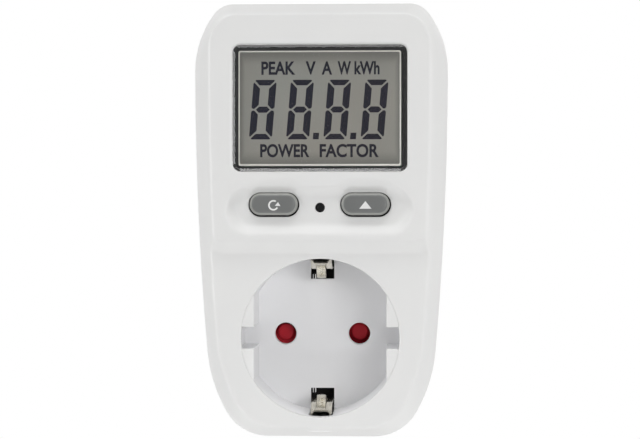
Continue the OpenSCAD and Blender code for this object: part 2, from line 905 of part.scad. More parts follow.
// Exposed plug pin with its rounded tip, the thicker root held in the plug body and the collar
module plug_pin(x) {
  y_tip = pin_len - tip_h;
  rod([x, 0], -0.01, y_tip, pin_r);
  translate([x, y_tip, 0]) rotate([-90, 0, 0]) rotate_extrude() intersection() {
    translate([pin_r - tip_h, 0]) circle(tip_h);
    square([pin_r, tip_h]);
  }
  rod([x, 0], y_tip - 0.01, pin_len, pin_r - tip_h);
  rod([x, 0], y_collar + collar_t, 0, pin_root_r);
  rod([x, 0], y_collar, y_collar + collar_t, collar_r);
}

module line_pin() {
  y_head = y_collar - shunt_t;
  color([0.8, 0.8, 0.78]) {
    plug_pin(pin_x);
    rod([pin_x, 0], y_head - rivet_head_h, y_collar + fit, rivet_r);
    rod([pin_x, 0], y_head - rivet_head_h, y_head, rivet_head_r);
  }
}

module neutral_pin() {
  y_head = y_base - base_t;
  color([0.8, 0.8, 0.78]) {
    plug_pin(-pin_x);
    rod([-pin_x, 0], y_base, y_collar + fit, pin_r);
    rod([-pin_x, 0], y_head - rivet_head_h, y_base + fit, rivet_r - thread_slack);
    rod([-pin_x, 0], y_head - rivet_head_h, y_head, rivet_head_r);
  }
}

// Smooth hump that rises from 0 at a to 1 halfway and falls to 0 at b
function bump(u, a, b) = pow(sin(180 * max(0, min(1, (u - a) / (b - a)))), 2);

// Points of the plug's earth arm at height h over its middle plane
function arm_points(h) = [
  for (i = [0:10])
    let (u = i / 10)
    [u * (arm_start - arm_stop) - arm_start, arm_z + h + arm_bow * bump(u, 0, 1)]
];

function backwards(list) = [for (i = [len(list) - 1:-1:0]) list[i]];

module earth_strap() {
  half = strap_t / 2;
  top = clip_z + clip_t / 2;
  y_back = y_plate_back + strap_t;
  y_end = strap_t - arm_stop;
  color([0.82, 0.8, 0.76]) {
    block([-strap_hw, y_plate_back, -top], [strap_hw, y_back, top]);
    for (s = [0, 1]) mirror([0, 0, s]) {
      block([-clip_w / 2, y_plate, top - clip_t], [clip_w / 2, y_back, top]);
      prism(-arm_hw, arm_hw) polygon(concat(
        [[y_plate_back + fit, arm_z + half]],
        arm_points(half),
        [[y_end, arm_z + half / 2], [y_end, arm_z - half]],
        backwards(arm_points(-half)),
        [[y_plate_back + fit, arm_z - half]]
      ));
    }
  }
}

// Height of an earth clip from its root at u = 0 to its free end at u = 1
clip_back = 2.1;
clip_y0 = y_plate - fit / 2;
clip_y1 = y_cup + clip_back;
clip_nose = 0.68;
clip_bow = 2.8;
clip_flare = 0.8;
tongue_bow = 0.85;
tongue_hw = 1.2;
function clip_height(u) =
  clip_z - clip_bow * bump(u, 0.3, 2 * clip_nose - 0.3)
  + clip_flare * pow(max(0, (u - clip_nose) / (1 - clip_nose)), 2);
function clip_points(i0, i1, h, bow) = [
  for (i = [i0:i1])
    let (u = i / 28)
    [clip_y0 + u * (clip_y1 - clip_y0), clip_height(u) + h - bow * bump(u, 0.42, 0.94)]
];

module earth_clip() {
  half = clip_t / 2;
  color([0.82, 0.8, 0.76]) {
    prism(-clip_w / 2, clip_w / 2)
      polygon(concat(clip_points(0, 28, half, 0), backwards(clip_points(0, 28, -half, 0))));
    prism(-tongue_hw, tongue_hw)
      polygon(concat(clip_points(12, 26, 0, 0), backwards(clip_points(12, 26, -half, tongue_bow))));
  }
}

module earth_clip_top() {
  earth_clip();
}

module earth_clip_bottom() {
  mirror([0, 0, 1]) earth_clip();
}

// Coils of the shutter spring, wound round the stud inside the shutter's hub
spring_r = 4.1;
spring_wire_r = 0.25;
spring_pitch = 0.6;
spring_turn = 990;
spring_pocket = 2.4;
spring_y0 = y_shutter_back - spring_pocket + spring_wire_r + fit;
leg_hole_r = spring_wire_r + fit;
leg_in = 1;
function spring_at(a) = [spring_r * cos(a), spring_y0 + spring_pitch * a / 360, spring_r * sin(a)];

module safety_shutter() {
  ramp_hw = 3.1;
  ramp_x0 = pin_x - ramp_hw;
  ramp_x1 = pin_x + ramp_hw;
  ramp_z = arm_w / 2 + 2 * fit;
  ramp_drop = 2.2;
  ramp_edge = 1;
  arm_end = 3.7;
  hub_wall = 1;
  y_over = y_shutter - 2 * fit;
  color([0.62, 0.1, 0.12]) difference() {
    union() {
      rod([0, 0], y_shutter, y_shutter_back, hub_r);
      slab(y_shutter, y_shutter_back) oval(2 * (pin_x + arm_end), arm_w);
    }
    rod([0, 0], y_shutter - cut, y_shutter_back + cut, pivot_r + fit);
    rod([0, 0], y_shutter_back - spring_pocket, y_shutter_back + cut, hub_r - hub_wall);
    rod([spring_r, 0], y_shutter + 3 * fit, y_shutter_back - spring_pocket + fit, leg_hole_r);
    for (a = [0, 180]) rotate([0, a, 0]) prism(ramp_x0, ramp_x1)
      polygon([
        [y_over, ramp_z], [y_shutter, ramp_z - ramp_edge],
        [y_shutter + ramp_drop, -ramp_z], [y_over, -ramp_z]
      ]);
  }
}

module shutter_spring() {
  steps = 66;
  coil = [for (i = [0:steps]) spring_at(spring_turn * i / steps)];
  last = coil[steps];
  path = concat([coil[0] - [0, leg_in, 0]], coil, [[last[0], y_plate + leg_in, last[2]]]);
  color([0.7, 0.7, 0.7]) tube(path, [for (p = path) [p[0], 0, p[2]]], spring_wire_r);
}

module contact_carrier() {
  last = spring_at(spring_turn);
  slot_foot = clip_z - clip_t - slot_gap;
  color([0.14, 0.14, 0.15]) difference() {
    union() {
      rod([0, 0], y_plate, y_plate_back, cup_r - 2 * fit);
      for (s = [-1, 1]) rod([s * pin_x, 0], y_plate, y_rear - wall, bush_r);
    }
    for (s = [-1, 1]) rod([s * pin_x, 0], y_plate_back, y_base, contact_r + 2 * fit);
    for (s = [-1, 1]) rod([s * pin_x, 0], y_plate - cut, y_plate_back + cut, hole_r + fit);
    for (s = [0, 1]) mirror([0, 0, s])
      block([-slot_w / 2, y_plate - cut, slot_foot], [slot_w / 2, y_plate_back + cut, slot_top]);
    for (p = carrier_xz) rod(p, y_plate - cut, y_plate_back + cut, carrier_screw_r + 2 * fit);
    rod([last[0], last[2]], y_plate - cut, y_plate + leg_in + 2 * fit, leg_hole_r);
  }
}

// Pan-head screw along Y with its head seated at depth y and a cross recess
module screw(p, y, head_r, head_h, r, len) {
  arm = 0.6 * head_r;
  half = 0.11 * head_r;
  y0 = y + head_h / 2;
  y1 = y + head_h + cut;
  difference() {
    union() {
      rod(p, y, y + head_h, head_r);
      rod(p, y - len, y + fit, r);
    }
    block([p[0] - arm, y0, p[1] - half], [p[0] + arm, y1, p[1] + half]);
    block([p[0] - half, y0, p[1] - arm], [p[0] + half, y1, p[1] + arm]);
  }
}

module case_screws() {
  color([0.55, 0.55, 0.56]) for (p = screw_xz)
    screw(p, y_seat, screw_head_r, screw_head_h, screw_r, screw_len);
}

module board_screws() {
  color([0.55, 0.55, 0.56]) for (p = post_xz)
    screw(p, y_board_back, small_head_r, small_head_h, post_screw_r, post_screw_len);
}

module carrier_screws() {
  color([0.55, 0.55, 0.56]) for (p = carrier_xz)
    screw(p, y_plate_back, small_head_r, small_head_h, carrier_screw_r, carrier_screw_len);
}

function bezier(p, t) =
  pow(1 - t, 3) * p[0] + 3 * t * pow(1 - t, 2) * p[1] + 3 * t * t * (1 - t) * p[2] + pow(t, 3) * p[3];

// Insulated lead from a contact's tab to the back of the board
module lead(s) {
  lead_r = 0.8;
  start_z = tab_h - 1.5 * lead_r;
  end_x = 11;
  end_z = 31;
  room = y_base - y_plate_back;
  p = [
    [s * pin_x, y_base - base_t, start_z], [s * pin_x, y_base - 0.75 * room, start_z],
    [s * end_x, y_base - 0.58 * room, end_z], [s * end_x, y_board_back, end_z]
  ];
  path = [for (i = [0:24]) bezier(p, i / 24)];
  tube(path, [for (q = path) [1, 0, 0]], lead_r, 16);
}

module line_lead() {
  color([0.45, 0.25, 0.15]) lead(1);
}

module neutral_lead() {
  color([0.15, 0.3, 0.65]) lead(-1);
}

front_cover();
rear_cover();
socket_cup();
socket_floor();
lcd_window();
lcd_frame();
lcd_glass();
zebra_strips();
main_board();
mode_button();
up_button();
mode_switch();
mode_plunger();
up_switch();
up_plunger();
reset_switch();
reset_plunger();
metering_chip();
film_capacitor();
filter_capacitor();
backup_battery();
varistor();
shunt();
line_contact();
neutral_contact();
line_pin();
neutral_pin();
earth_strap();
earth_clip_top();
earth_clip_bottom();
safety_shutter();
shutter_spring();
contact_carrier();
case_screws();
board_screws();
carrier_screws();
line_lead();
neutral_lead();
rating_label();
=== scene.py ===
import math
from functools import partial

import bmesh
import bpy
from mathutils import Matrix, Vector
from mathutils.geometry import delaunay_2d_cdt


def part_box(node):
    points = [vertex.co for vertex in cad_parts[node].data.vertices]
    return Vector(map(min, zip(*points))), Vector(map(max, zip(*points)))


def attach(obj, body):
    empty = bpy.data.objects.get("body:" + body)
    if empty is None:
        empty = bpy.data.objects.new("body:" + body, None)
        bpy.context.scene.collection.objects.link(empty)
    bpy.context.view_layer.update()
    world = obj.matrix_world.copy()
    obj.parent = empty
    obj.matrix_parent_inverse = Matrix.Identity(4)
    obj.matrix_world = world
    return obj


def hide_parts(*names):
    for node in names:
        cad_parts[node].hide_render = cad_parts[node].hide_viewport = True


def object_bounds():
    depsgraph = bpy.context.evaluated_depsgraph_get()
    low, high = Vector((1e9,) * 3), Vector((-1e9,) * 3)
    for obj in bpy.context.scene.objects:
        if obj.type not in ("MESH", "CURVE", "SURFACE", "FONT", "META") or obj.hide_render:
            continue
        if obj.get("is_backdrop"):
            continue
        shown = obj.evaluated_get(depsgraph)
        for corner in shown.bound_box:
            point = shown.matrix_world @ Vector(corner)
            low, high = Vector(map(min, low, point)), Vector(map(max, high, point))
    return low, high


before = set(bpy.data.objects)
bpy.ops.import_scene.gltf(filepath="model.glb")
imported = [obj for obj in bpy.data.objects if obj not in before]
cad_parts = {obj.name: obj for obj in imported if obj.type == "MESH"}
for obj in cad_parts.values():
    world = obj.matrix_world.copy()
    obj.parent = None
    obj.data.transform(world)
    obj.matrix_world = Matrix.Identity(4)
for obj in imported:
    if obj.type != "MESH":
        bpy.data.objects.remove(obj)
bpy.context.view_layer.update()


# Front cover
# White half shell of satin ABS, injection moulded in one shot with a raised display panel and a key
# dish. Four screws from behind pull it onto the rear cover; the mould softens all its edges.
MM = 0.001
CASE_HALF_WIDTH, CASE_TOP, CASE_BOTTOM = 31.8, 83.5, -25.2
SIDE_RADIUS, WIDEST_Z = 831.0, 67.8
TOP_RADIUS, UPPER_RADIUS, UPPER_SHRINK, UPPER_TURN = 5.9, 24.1, 15.1, 37
BOTTOM_RADIUS, LOWER_RADIUS, LOWER_TURN = 12.05, 37.6, -30
BEVEL_WIDTH, BEVEL_TOP, BEVEL_BOTTOM = 4.45, 3.52, 3.78
BEVEL_START, BEVEL_DEPTH, BEVEL_CURVE = -47.5, 10.0, 1.2
SPLIT_Y, LIP_INSET, LIP_DEPTH = -37.0, 0.12, 0.15
SOCKET_Y, PANEL_RISE, WALL, WALL_CUT = -55.5, 2.0, 2.0, 0.6
PANEL_HALF_WIDTH, PANEL_CORNER, PANEL_BACK = 27.95, 2.9, -54.3
STEP_Z, STEP_RUN = 23.9, 3.1
DISH, DISH_DEPTH = (0, 31.4, 46.2, 11.8), 1.8
HOLLOW_RUN, SLOPE_RUN, HOLLOW_Z, HOLLOW_BLEND = 3.0, 2.7, 29.4, 4.0
SCOOP, SCOOP_RIM, SCOOP_SLOPE, SCOOP_DEPTH = (11.4, 33.4, 12.0, 6.0), 1.6, 0.85, 1.5
WINDOW = (0, 56.72, 43.1, 31.25, 2)
LEFT_OPENING, RIGHT_OPENING = (-11.4, 32.95, 12.5, 6.0), (11.28, 32.95, 12.5, 6.0)
RESET_HOLE, RECESS_RADIUS = (0, 32.25, 1.2), 19.6
RECESS = (0, 0, RECESS_RADIUS)


def polar(centre, r, turn):
    return (centre[0] + r * math.cos(turn), centre[1] + r * math.sin(turn))


def arc(cx, cz, r, start, stop, steps, last=False):
    """Points on an arc between two angles in degrees, with its last point or without."""
    count = steps + 1 if last else steps
    turns = [math.radians(start + (stop - start) * i / steps) for i in range(count)]
    return [polar((cx, cz), r, turn) for turn in turns]


def circle(cx, cz, r, steps, grow=0.0):
    return arc(cx, cz, r + grow, 0, 360, steps)


def circle_gap(cx, cz, r, x, z):
    """Distance of a point outside a circle, negative inside it."""
    return math.hypot(x - cx, z - cz) - r


def round_rect(cx, cz, w, h, r, grow=0.0):
    """Rectangle with round corners, grown by an offset on all sides."""
    r = r + grow
    x, z = (w + 2 * grow) / 2 - r, (h + 2 * grow) / 2 - r
    corners = [(cx + x, cz - z), (cx + x, cz + z), (cx - x, cz + z), (cx - x, cz - z)]
    points = []
    for i, corner in enumerate(corners):
        points += arc(*corner, r, 90 * i - 90, 90 * i, 8, True)
    return points


def rect_gap(cx, cz, w, h, r, x, z):
    """Distance of a point outside a rectangle with round corners, negative inside it."""
    return math.hypot(max(abs(x - cx) - (w / 2 - r), 0), max(abs(z - cz) - (h / 2 - r), 0)) - r


def oval(cx, cz, w, h, grow=0.0):
    """Bar with half round ends, grown by an offset on all sides."""
    w, h = w + 2 * grow, h + 2 * grow
    x, r = (w - h) / 2, h / 2
    return arc(cx + x, cz, r, -90, 90, 28, True) + arc(cx - x, cz, r, 90, 270, 28, True)


def oval_gap(cx, cz, w, h, x, z):
    """Distance of a point outside an oval, negative inside it."""
    return math.hypot(max(abs(x - cx) - (w - h) / 2, 0.0), z - cz) - h / 2


def case_ring(inset, bevel=True):
    """Outline of the case, inset along the front bevel, or evenly all round."""
    share = inset / BEVEL_WIDTH if bevel else 0.0
    even = 0.0 if bevel else inset
    top = CASE_TOP - BEVEL_TOP * share - even
    bottom = CASE_BOTTOM + BEVEL_BOTTOM * share + even
    r_top, r_upper = max(TOP_RADIUS - even, 1.0), UPPER_RADIUS - UPPER_SHRINK * share - even
    r_bottom, r_lower = BOTTOM_RADIUS - even, LOWER_RADIUS - even
    side, r = (CASE_HALF_WIDTH - inset - SIDE_RADIUS, WIDEST_Z), SIDE_RADIUS
    up, down = math.radians(UPPER_TURN), math.radians(LOWER_TURN)
    rise = top - WIDEST_Z - (r_upper - r_top) * math.sin(up) - r_top
    drop = bottom - WIDEST_Z - (r_lower - r_bottom) * math.sin(down) + r_bottom
    side_top, side_bottom = math.asin(rise / (r - r_upper)), math.asin(drop / (r - r_lower))
    upper, lower = polar(side, r - r_upper, side_top), polar(side, r - r_lower, side_bottom)
    topmost, lowest = polar(upper, r_upper - r_top, up), polar(lower, r_lower - r_bottom, down)
    side_top, side_bottom = math.degrees(side_top), math.degrees(side_bottom)
    half = arc(*lowest, r_bottom, -90, LOWER_TURN, 14)
    half += arc(*lower, r_lower, LOWER_TURN, side_bottom, 14)
    half += arc(*side, r, side_bottom, side_top, 110)
    half += arc(*upper, r_upper, side_top, UPPER_TURN, 14)
    half += arc(*topmost, r_top, UPPER_TURN, 90, 12, True)
    return half + [(-x, z) for x, z in reversed(half)]


def smooth_max(a, b, r):
    """Larger of two values, rounded off where they differ by less than r."""
    h = max(r - abs(a - b), 0.0) / r
    return max(a, b) + h * h * r / 4


def smooth_min(a, b, r):
    return -smooth_max(-a, -b, r)


def fillet(gap, r):
    """Sink of a rounded edge at a distance from the hole it runs round."""
    return r - math.sqrt(r * r - (r - min(max(gap, 0.0), r)) ** 2)


def dish_sink(x, z):
    """Sink of the key dish: an oval, hollow above and sloped below, with a scoop over each key."""
    inside = -oval_gap(*DISH, x, z)
    upper = min(max((z - HOLLOW_Z) / HOLLOW_BLEND, 0.0), 1.0)
    hollow = DISH_DEPTH - DISH_DEPTH * (1.0 - min(inside / HOLLOW_RUN, 1.0)) ** 2
    slope = smooth_min(inside * DISH_DEPTH / SLOPE_RUN, DISH_DEPTH, 0.5)
    scoop = min(SCOOP_RIM - SCOOP_SLOPE * oval_gap(*SCOOP, abs(x), z), SCOOP_DEPTH)
    dish = smooth_max(slope + (hollow - slope) * upper, 0.0, 0.3)
    return max(dish, smooth_max(scoop, 0.0, 1.3))


def front_y(x, z):
    """Depth of the front face: socket plane, sloped step, panel and key dish."""
    up = z - STEP_Z
    drawn_in = SIDE_RADIUS - math.sqrt(SIDE_RADIUS**2 - (z - WIDEST_Z) ** 2)
    side = PANEL_HALF_WIDTH - drawn_in - abs(x)
    inside = min(up, side)
    if inside < PANEL_CORNER:
        short = math.hypot(max(PANEL_CORNER - up, 0.0), max(PANEL_CORNER - side, 0.0))
        inside = PANEL_CORNER - short
    slope = PANEL_RISE + inside * PANEL_RISE / STEP_RUN
    rise = smooth_max(smooth_min(slope, PANEL_RISE, 0.25), 0.0, 0.3)
    return SOCKET_Y - rise + dish_sink(x, z)


def inner_y(x, z, y):
    """Depth of the wall's inner face: thinner under the dish and level behind the panel."""
    inner = y + (WALL - WALL_CUT * min(dish_sink(x, z) / DISH_DEPTH, 1.0))
    return inner if z < 24.0 else min(inner, PANEL_BACK)


def triangles(points, loops, holes):
    """Faces over flat points, bounded by closed loops of indices and left open in the holes."""
    edges = [(loop[i - 1], loop[i]) for loop in loops for i in range(len(loop))]
    vectors = [Vector(p) for p in points]
    flat, _, faces, origin, _, _ = delaunay_2d_cdt(vectors, edges, [], 1, 1e-6, True)
    kept = []
    for face in faces:
        x, z = (sum(flat[i][axis] for i in face) / len(face) for axis in (0, 1))
        if not any(hole(x, z) < 0 for hole in holes):
            kept.append([origin[i][0] for i in face])
    return kept


def put(bm, points, y):
    """New vertices at flat points, at one depth or at a list of depths, in millimetres."""
    depths = y if isinstance(y, list) else [y] * len(points)
    return [bm.verts.new((x * MM, d * MM, z * MM)) for (x, z), d in zip(points, depths)]


def bridge(bm, loops, closed=False):
    """Bands of faces from each loop of vertices to the next, and from the last to the first."""
    following = loops[1:] + loops[:1] if closed else loops[1:]
    for a, b in zip(loops, following):
        for i in range(len(a)):
            bm.faces.new((a[i - 1], a[i], b[i], b[i - 1]))


def add_piece(name, bm, body, slot, material, *nodes, sharp=40):
    """Smooth object from a mesh that rides on a body, in the place of the CAD nodes named."""
    bmesh.ops.remove_doubles(bm, verts=bm.verts, dist=1e-7)
    bmesh.ops.recalc_face_normals(bm, faces=bm.faces)
    mesh = bpy.data.meshes.new(name)
    bm.to_mesh(mesh)
    bm.free()
    mesh.polygons.foreach_set("use_smooth", [True] * len(mesh.polygons))
    mesh.set_sharp_from_angle(angle=math.radians(sharp))
    mesh.materials.append(material)
    obj = bpy.data.objects.new(name, mesh)
    bpy.context.scene.collection.objects.link(obj)
    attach(obj, body)
    if nodes:
        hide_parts(*nodes)
    return obj


COLOUR, VALUE = "NodeSocketColor", "NodeSocketFloat"


def finish_group(name, **inputs):
    """Shader group from named inputs to a finish, as (group, its inputs, its outputs)."""
    group = bpy.data.node_groups.new(name, "ShaderNodeTree")
    for label, kind in inputs.items():
        group.interface.new_socket(label, in_out="INPUT", socket_type=kind)
    for label, kind in (("Colour", COLOUR), ("Roughness", VALUE), ("Height", VALUE)):
        group.interface.new_socket(label, in_out="OUTPUT", socket_type=kind)
    start, end = group.nodes.new("NodeGroupInput"), group.nodes.new("NodeGroupOutput")
    return group, start.outputs, end.inputs


def feed(tree, value, socket):
    """Sets a socket to a number, or links it to another socket."""
    if isinstance(value, float):
        socket.default_value = value
    else:
        tree.links.new(value, socket)


def noise(tree, coords, scale, detail):
    """Noise value over coordinates, at a scale that is a number or a socket."""
    node = tree.nodes.new("ShaderNodeTexNoise")
    node.inputs["Detail"].default_value = detail
    tree.links.new(coords, node.inputs["Vector"])
    feed(tree, scale, node.inputs["Scale"])
    return node.outputs["Fac"]


def spread(tree, value, low, high):
    """Noise value stretched to run between two limits."""
    node = tree.nodes.new("ShaderNodeMapRange")
    node.inputs["From Min"].default_value = 0.3
    node.inputs["From Max"].default_value = 0.7
    tree.links.new(value, node.inputs["Value"])
    feed(tree, low, node.inputs["To Min"])
    feed(tree, high, node.inputs["To Max"])
    return node.outputs["Result"]


def blend(tree, factor, a, b):
    """Colour between two others; a mix node has its colour sockets at these numbers."""
    node = tree.nodes.new("ShaderNodeMix")
    node.data_type = "RGBA"
    tree.links.new(factor, node.inputs["Factor"])
    tree.links.new(a, node.inputs[6])
    tree.links.new(b, node.inputs[7])
    return node.outputs[2]


moulded, given, made = finish_group(
    "moulded_grain", Colour=COLOUR, Shade=COLOUR, Dull=VALUE, Bright=VALUE, Grain=VALUE
)
place = moulded.nodes.new("ShaderNodeTexCoord").outputs["Object"]
flow = spread(moulded, noise(moulded, place, 55.0, 3.0), 0.0, 1.0)
grain = noise(moulded, place, given["Grain"], 2.0)
moulded.links.new(blend(moulded, flow, given["Colour"], given["Shade"]), made["Colour"])
moulded.links.new(spread(moulded, grain, given["Bright"], given["Dull"]), made["Roughness"])
moulded.links.new(grain, made["Height"])


def surface(name, group, settings, bump, **fixed):
    """Material with a group for colour, roughness and a fine bump, and fixed values set directly."""
    material = bpy.data.materials.new(name)
    material.use_nodes = True
    tree = material.node_tree
    shader = tree.nodes["Principled BSDF"]
    finish = tree.nodes.new("ShaderNodeGroup")
    finish.node_tree = group
    for label, value in settings.items():
        finish.inputs[label].default_value = value
    relief = tree.nodes.new("ShaderNodeBump")
    relief.inputs["Strength"].default_value = bump
    relief.inputs["Distance"].default_value = 0.0001
    tree.links.new(finish.outputs["Colour"], shader.inputs["Base Color"])
    tree.links.new(finish.outputs["Roughness"], shader.inputs["Roughness"])
    tree.links.new(finish.outputs["Height"], relief.inputs["Height"])
    tree.links.new(relief.outputs["Normal"], shader.inputs["Normal"])
    for label, value in fixed.items():
        shader.inputs[label.replace("_", " ")].default_value = value
    return material


def plastic(name, colour, shade, bright, dull, grain, bump, **fixed):
    """Moulded plastic of two near tones, with its roughness from bright to dull and its grain."""
    tones = {"Colour": (*colour, 1.0), "Shade": (*shade, 1.0)}
    settings = {**tones, "Bright": bright, "Dull": dull, "Grain": grain}
    return surface(name, moulded, settings, bump, **fixed)


white = plastic(
    "white_satin", (0.785, 0.785, 0.776), (0.77, 0.77, 0.765), 0.38, 0.48, 2600.0, 0.12
)

bm = bmesh.new()
rings = [
    put(bm, case_ring(LIP_INSET, False), SPLIT_Y),
    put(bm, case_ring(0), SPLIT_Y - LIP_DEPTH),
    put(bm, case_ring(0), -43.0),
]
insets = [0, 0.03, 0.08, 0.15, 0.26, 0.42, 0.65, 0.95, 1.3, 1.7, 2.1, 2.5]
insets += [2.8 + 0.14 * i for i in range(18)] + [5.34, 5.5]
for inset in insets:
    flat = case_ring(inset)
    band = BEVEL_START - BEVEL_DEPTH * (inset / BEVEL_WIDTH) ** (1 / BEVEL_CURVE)
    rings.append(put(bm, flat, [smooth_max(front_y(x, z), band, 1.0) for x, z in flat]))
bridge(bm, rings)

# Each opening: its outline, the distance outside it, its edge radius and the first loop round it
openings = [
    (partial(round_rect, *WINDOW), partial(rect_gap, *WINDOW), 0.55, 0.9),
    (partial(oval, *LEFT_OPENING), partial(oval_gap, *LEFT_OPENING), 0.16, 0.5),
    (partial(oval, *RIGHT_OPENING), partial(oval_gap, *RIGHT_OPENING), 0.16, 0.5),
    (partial(circle, *RESET_HOLE, 40), partial(circle_gap, *RESET_HOLE), 0.16, 0.5),
    (partial(circle, *RECESS, 160), partial(circle_gap, *RECESS), 0.2, 0.62),
]
cuts = [gap for _, gap, _, _ in openings]
field = list(flat)
depths = [front_y(x, z) for x, z in flat]
loops = [list(range(len(flat)))]


def lay(points, depth):
    """Adds flat points to the field at depths given by a function, and returns their indices."""
    start = len(field)
    field.extend(points)
    depths.extend(depth(x, z) for x, z in points)
    return list(range(start, len(field)))


rims = []
for outline, _, edge, guard in openings:
    for gap in [guard] + [share * edge for share in (1.0, 0.62, 0.35, 0.13, 0.02, 0.0)]:
        loops.append(lay(outline(gap), lambda x, z: front_y(x, z) + fillet(gap, edge)))
    rims.append(loops[-1])
DISH_PITCH = 0.3
for j in range(48):
    shift, z = DISH_PITCH / 2 * (j % 2), 25.2 + DISH_PITCH * j
    row = [(-23.7 + DISH_PITCH * i + shift, z) for i in range(158)]
    lay([p for p in row if min(cut(*p) for cut in cuts[1:4]) > 0.62], front_y)
step_rows = [-4.2, -3.8, -3.5, -3.3, -3.1, -2.9, -2.7, -2.3, -1.6]
step_rows += [-0.9, -0.5, -0.3, -0.1, 0.1, 0.3, 0.6, 0.9]
for up in step_rows:
    row = [(-24.0 + 1.2 * i, STEP_Z + up) for i in range(41)]
    lay([p for p in row if math.hypot(*p) > 20.5], front_y)
skin = triangles(field, loops, cuts)
outer = rings[-1] + put(bm, field[len(flat):], depths[len(flat):])
inner = put(bm, field, [inner_y(x, z, y) for (x, z), y in zip(field, depths)])
for side in (outer, inner):
    for face in skin:
        bm.faces.new([side[i] for i in face])
for rim in rims:
    bridge(bm, [[outer[i] for i in rim], [inner[i] for i in rim]])
lining = [inner[: len(flat)]]
for inset, y in ((4.6, -53.0), (3.4, -50.5), (2.4, -48.5), (2.0, -46.5), (2.0, SPLIT_Y)):
    lining.append(put(bm, case_ring(inset), y))
bridge(bm, lining + [rings[0]])
add_piece("front_cover_shell", bm, "case", "white_plastic", white, "front_cover")


# Display window
# Clear acrylic lens, moulded with a bevelled edge and a hidden flange, polished all over.
# It is pushed in from behind and stands a little proud of the panel.
clear = plastic(
    "window_acrylic", (0.97, 0.98, 0.98), [c * 0.97 for c in (0.97, 0.98, 0.98)],
    0.012, 0.03, 900.0, 0.0, Transmission_Weight=1.0, IOR=1.49,
)
tree = clear.node_tree
thin = tree.nodes.new("ShaderNodeBsdfTransparent")
thin.inputs["Color"].default_value = (0.9, 0.9, 0.9, 1.0)
through = tree.nodes.new("ShaderNodeMixShader")
shadow = tree.nodes.new("ShaderNodeLightPath").outputs["Is Shadow Ray"]
tree.links.new(shadow, through.inputs["Fac"])
tree.links.new(tree.nodes["Principled BSDF"].outputs["BSDF"], through.inputs[1])
tree.links.new(thin.outputs["BSDF"], through.inputs[2])
tree.links.new(through.outputs["Shader"], tree.nodes["Material Output"].inputs["Surface"])


def close_stack(bm, levels):
    """Bands between loops of vertices in order, with a face over the first and the last."""
    bridge(bm, levels)
    bm.faces.new(levels[0])
    bm.faces.new(levels[-1])
    return levels


def stacked_plate(bm, outline, profile):
    """Closed plate from an outline with its offsets and depths, from the front to the back."""
    return close_stack(bm, [put(bm, outline(grow), y) for grow, y in profile])


lens_profile = [
    (-0.66, -57.8), (-0.03, -57.49), (0.0, -57.44), (0.0, -55.45), (0.8, -55.45), (0.8, -54.62),
]
bm = bmesh.new()
stacked_plate(bm, partial(round_rect, 0, 56.72, 43.0, 31.15, 1.95), lens_profile)
add_piece("display_lens", bm, "case", "window_clear", clear, "lcd_window", sharp=20)


# Display frame
# Black frame that centres the display glass under the window, moulded in matt ABS.
# It is pinched between the window's flange and the board.
black = plastic(
    "black_matt", (0.012, 0.012, 0.013), (0.018, 0.018, 0.018), 0.45, 0.62, 1800.0, 0.15,
    Specular_IOR_Level=0.2,
)
low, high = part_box("lcd_frame")
frame_width, frame_height = (high[0] - low[0]) / MM, (high[2] - low[2]) / MM
near, far = low[1] / MM, high[1] / MM
outside = round_rect(0, 57.0, frame_width, frame_height, 2)
opening = round_rect(-0.05, 56.72, 40.6, 28.8, 0.4)
bm = bmesh.new()
rings = [put(bm, outside, near), put(bm, outside, far), put(bm, opening, far), put(bm, opening, near)]
bridge(bm, rings, closed=True)
add_piece("display_frame", bm, "case", "black_plastic", black, "lcd_frame")


# Segment display
# Reflective liquid crystal cell: two glass plates with a ground edge and a grey polariser film on
# top. The dark digits and signs are drawn by electrodes inside; it sits on two rubber contact strips.
CELL, FILM = (-0.09, 56.76, 40.22, 28.48, 0.5), (-0.09, 56.83, 39.48, 27.65, 0.35)
CELL_FRONT, FILM_FRONT, SIGN_FRONT = -54.42, -54.5, -54.515
film, given, made = finish_group(
    "polariser_film", Colour=COLOUR, Warm=COLOUR, Border=COLOUR, Bright=VALUE, Dull=VALUE
)
place = film.nodes.new("ShaderNodeTexCoord").outputs["Object"]
clouds = spread(film, noise(film, place, 38.0, 2.0), 0.0, 1.0)
speck = noise(film, place, 5200.0, 2.0)
across = film.nodes.new("ShaderNodeSeparateXYZ")
film.links.new(place, across.inputs["Vector"])


def combine(tree, operation, *values):
    """Result of a math node on sockets or numbers."""
    node = tree.nodes.new("ShaderNodeMath")
    node.operation = operation
    for value, socket in zip(values, node.inputs):
        feed(tree, value, socket)
    return node.outputs["Value"]


def ramp(tree, value, low, high):
    """Smooth rise from 0 to 1 between two limits."""
    node = tree.nodes.new("ShaderNodeMapRange")
    node.interpolation_type = "SMOOTHSTEP"
    node.inputs["From Min"].default_value = low
    node.inputs["From Max"].default_value = high
    tree.links.new(value, node.inputs["Value"])
    return node.outputs["Result"]


def painted_shade_ramp(axis, centre, half, reach):
    """Mask of painted shade that rises over a reach before the film's edge on one axis, in metres."""
    off = combine(film, "ABSOLUTE", combine(film, "SUBTRACT", across.outputs[axis], centre))
    return ramp(film, off, half - reach, half)


# The film's tone is painted darker over the last millimetres to its edges: painted shade of the frame
# and window.
sides, ends = painted_shade_ramp("X", -0.00009, 0.01974, 0.0015), painted_shade_ramp("Z", 0.05683, 0.01383, 0.0035)
tone = blend(film, clouds, given["Colour"], given["Warm"])
painted_shade_tone = blend(film, combine(film, "MAXIMUM", sides, ends), tone, given["Border"])
film.links.new(painted_shade_tone, made["Colour"])
film.links.new(spread(film, speck, given["Bright"], given["Dull"]), made["Roughness"])
film.links.new(speck, made["Height"])


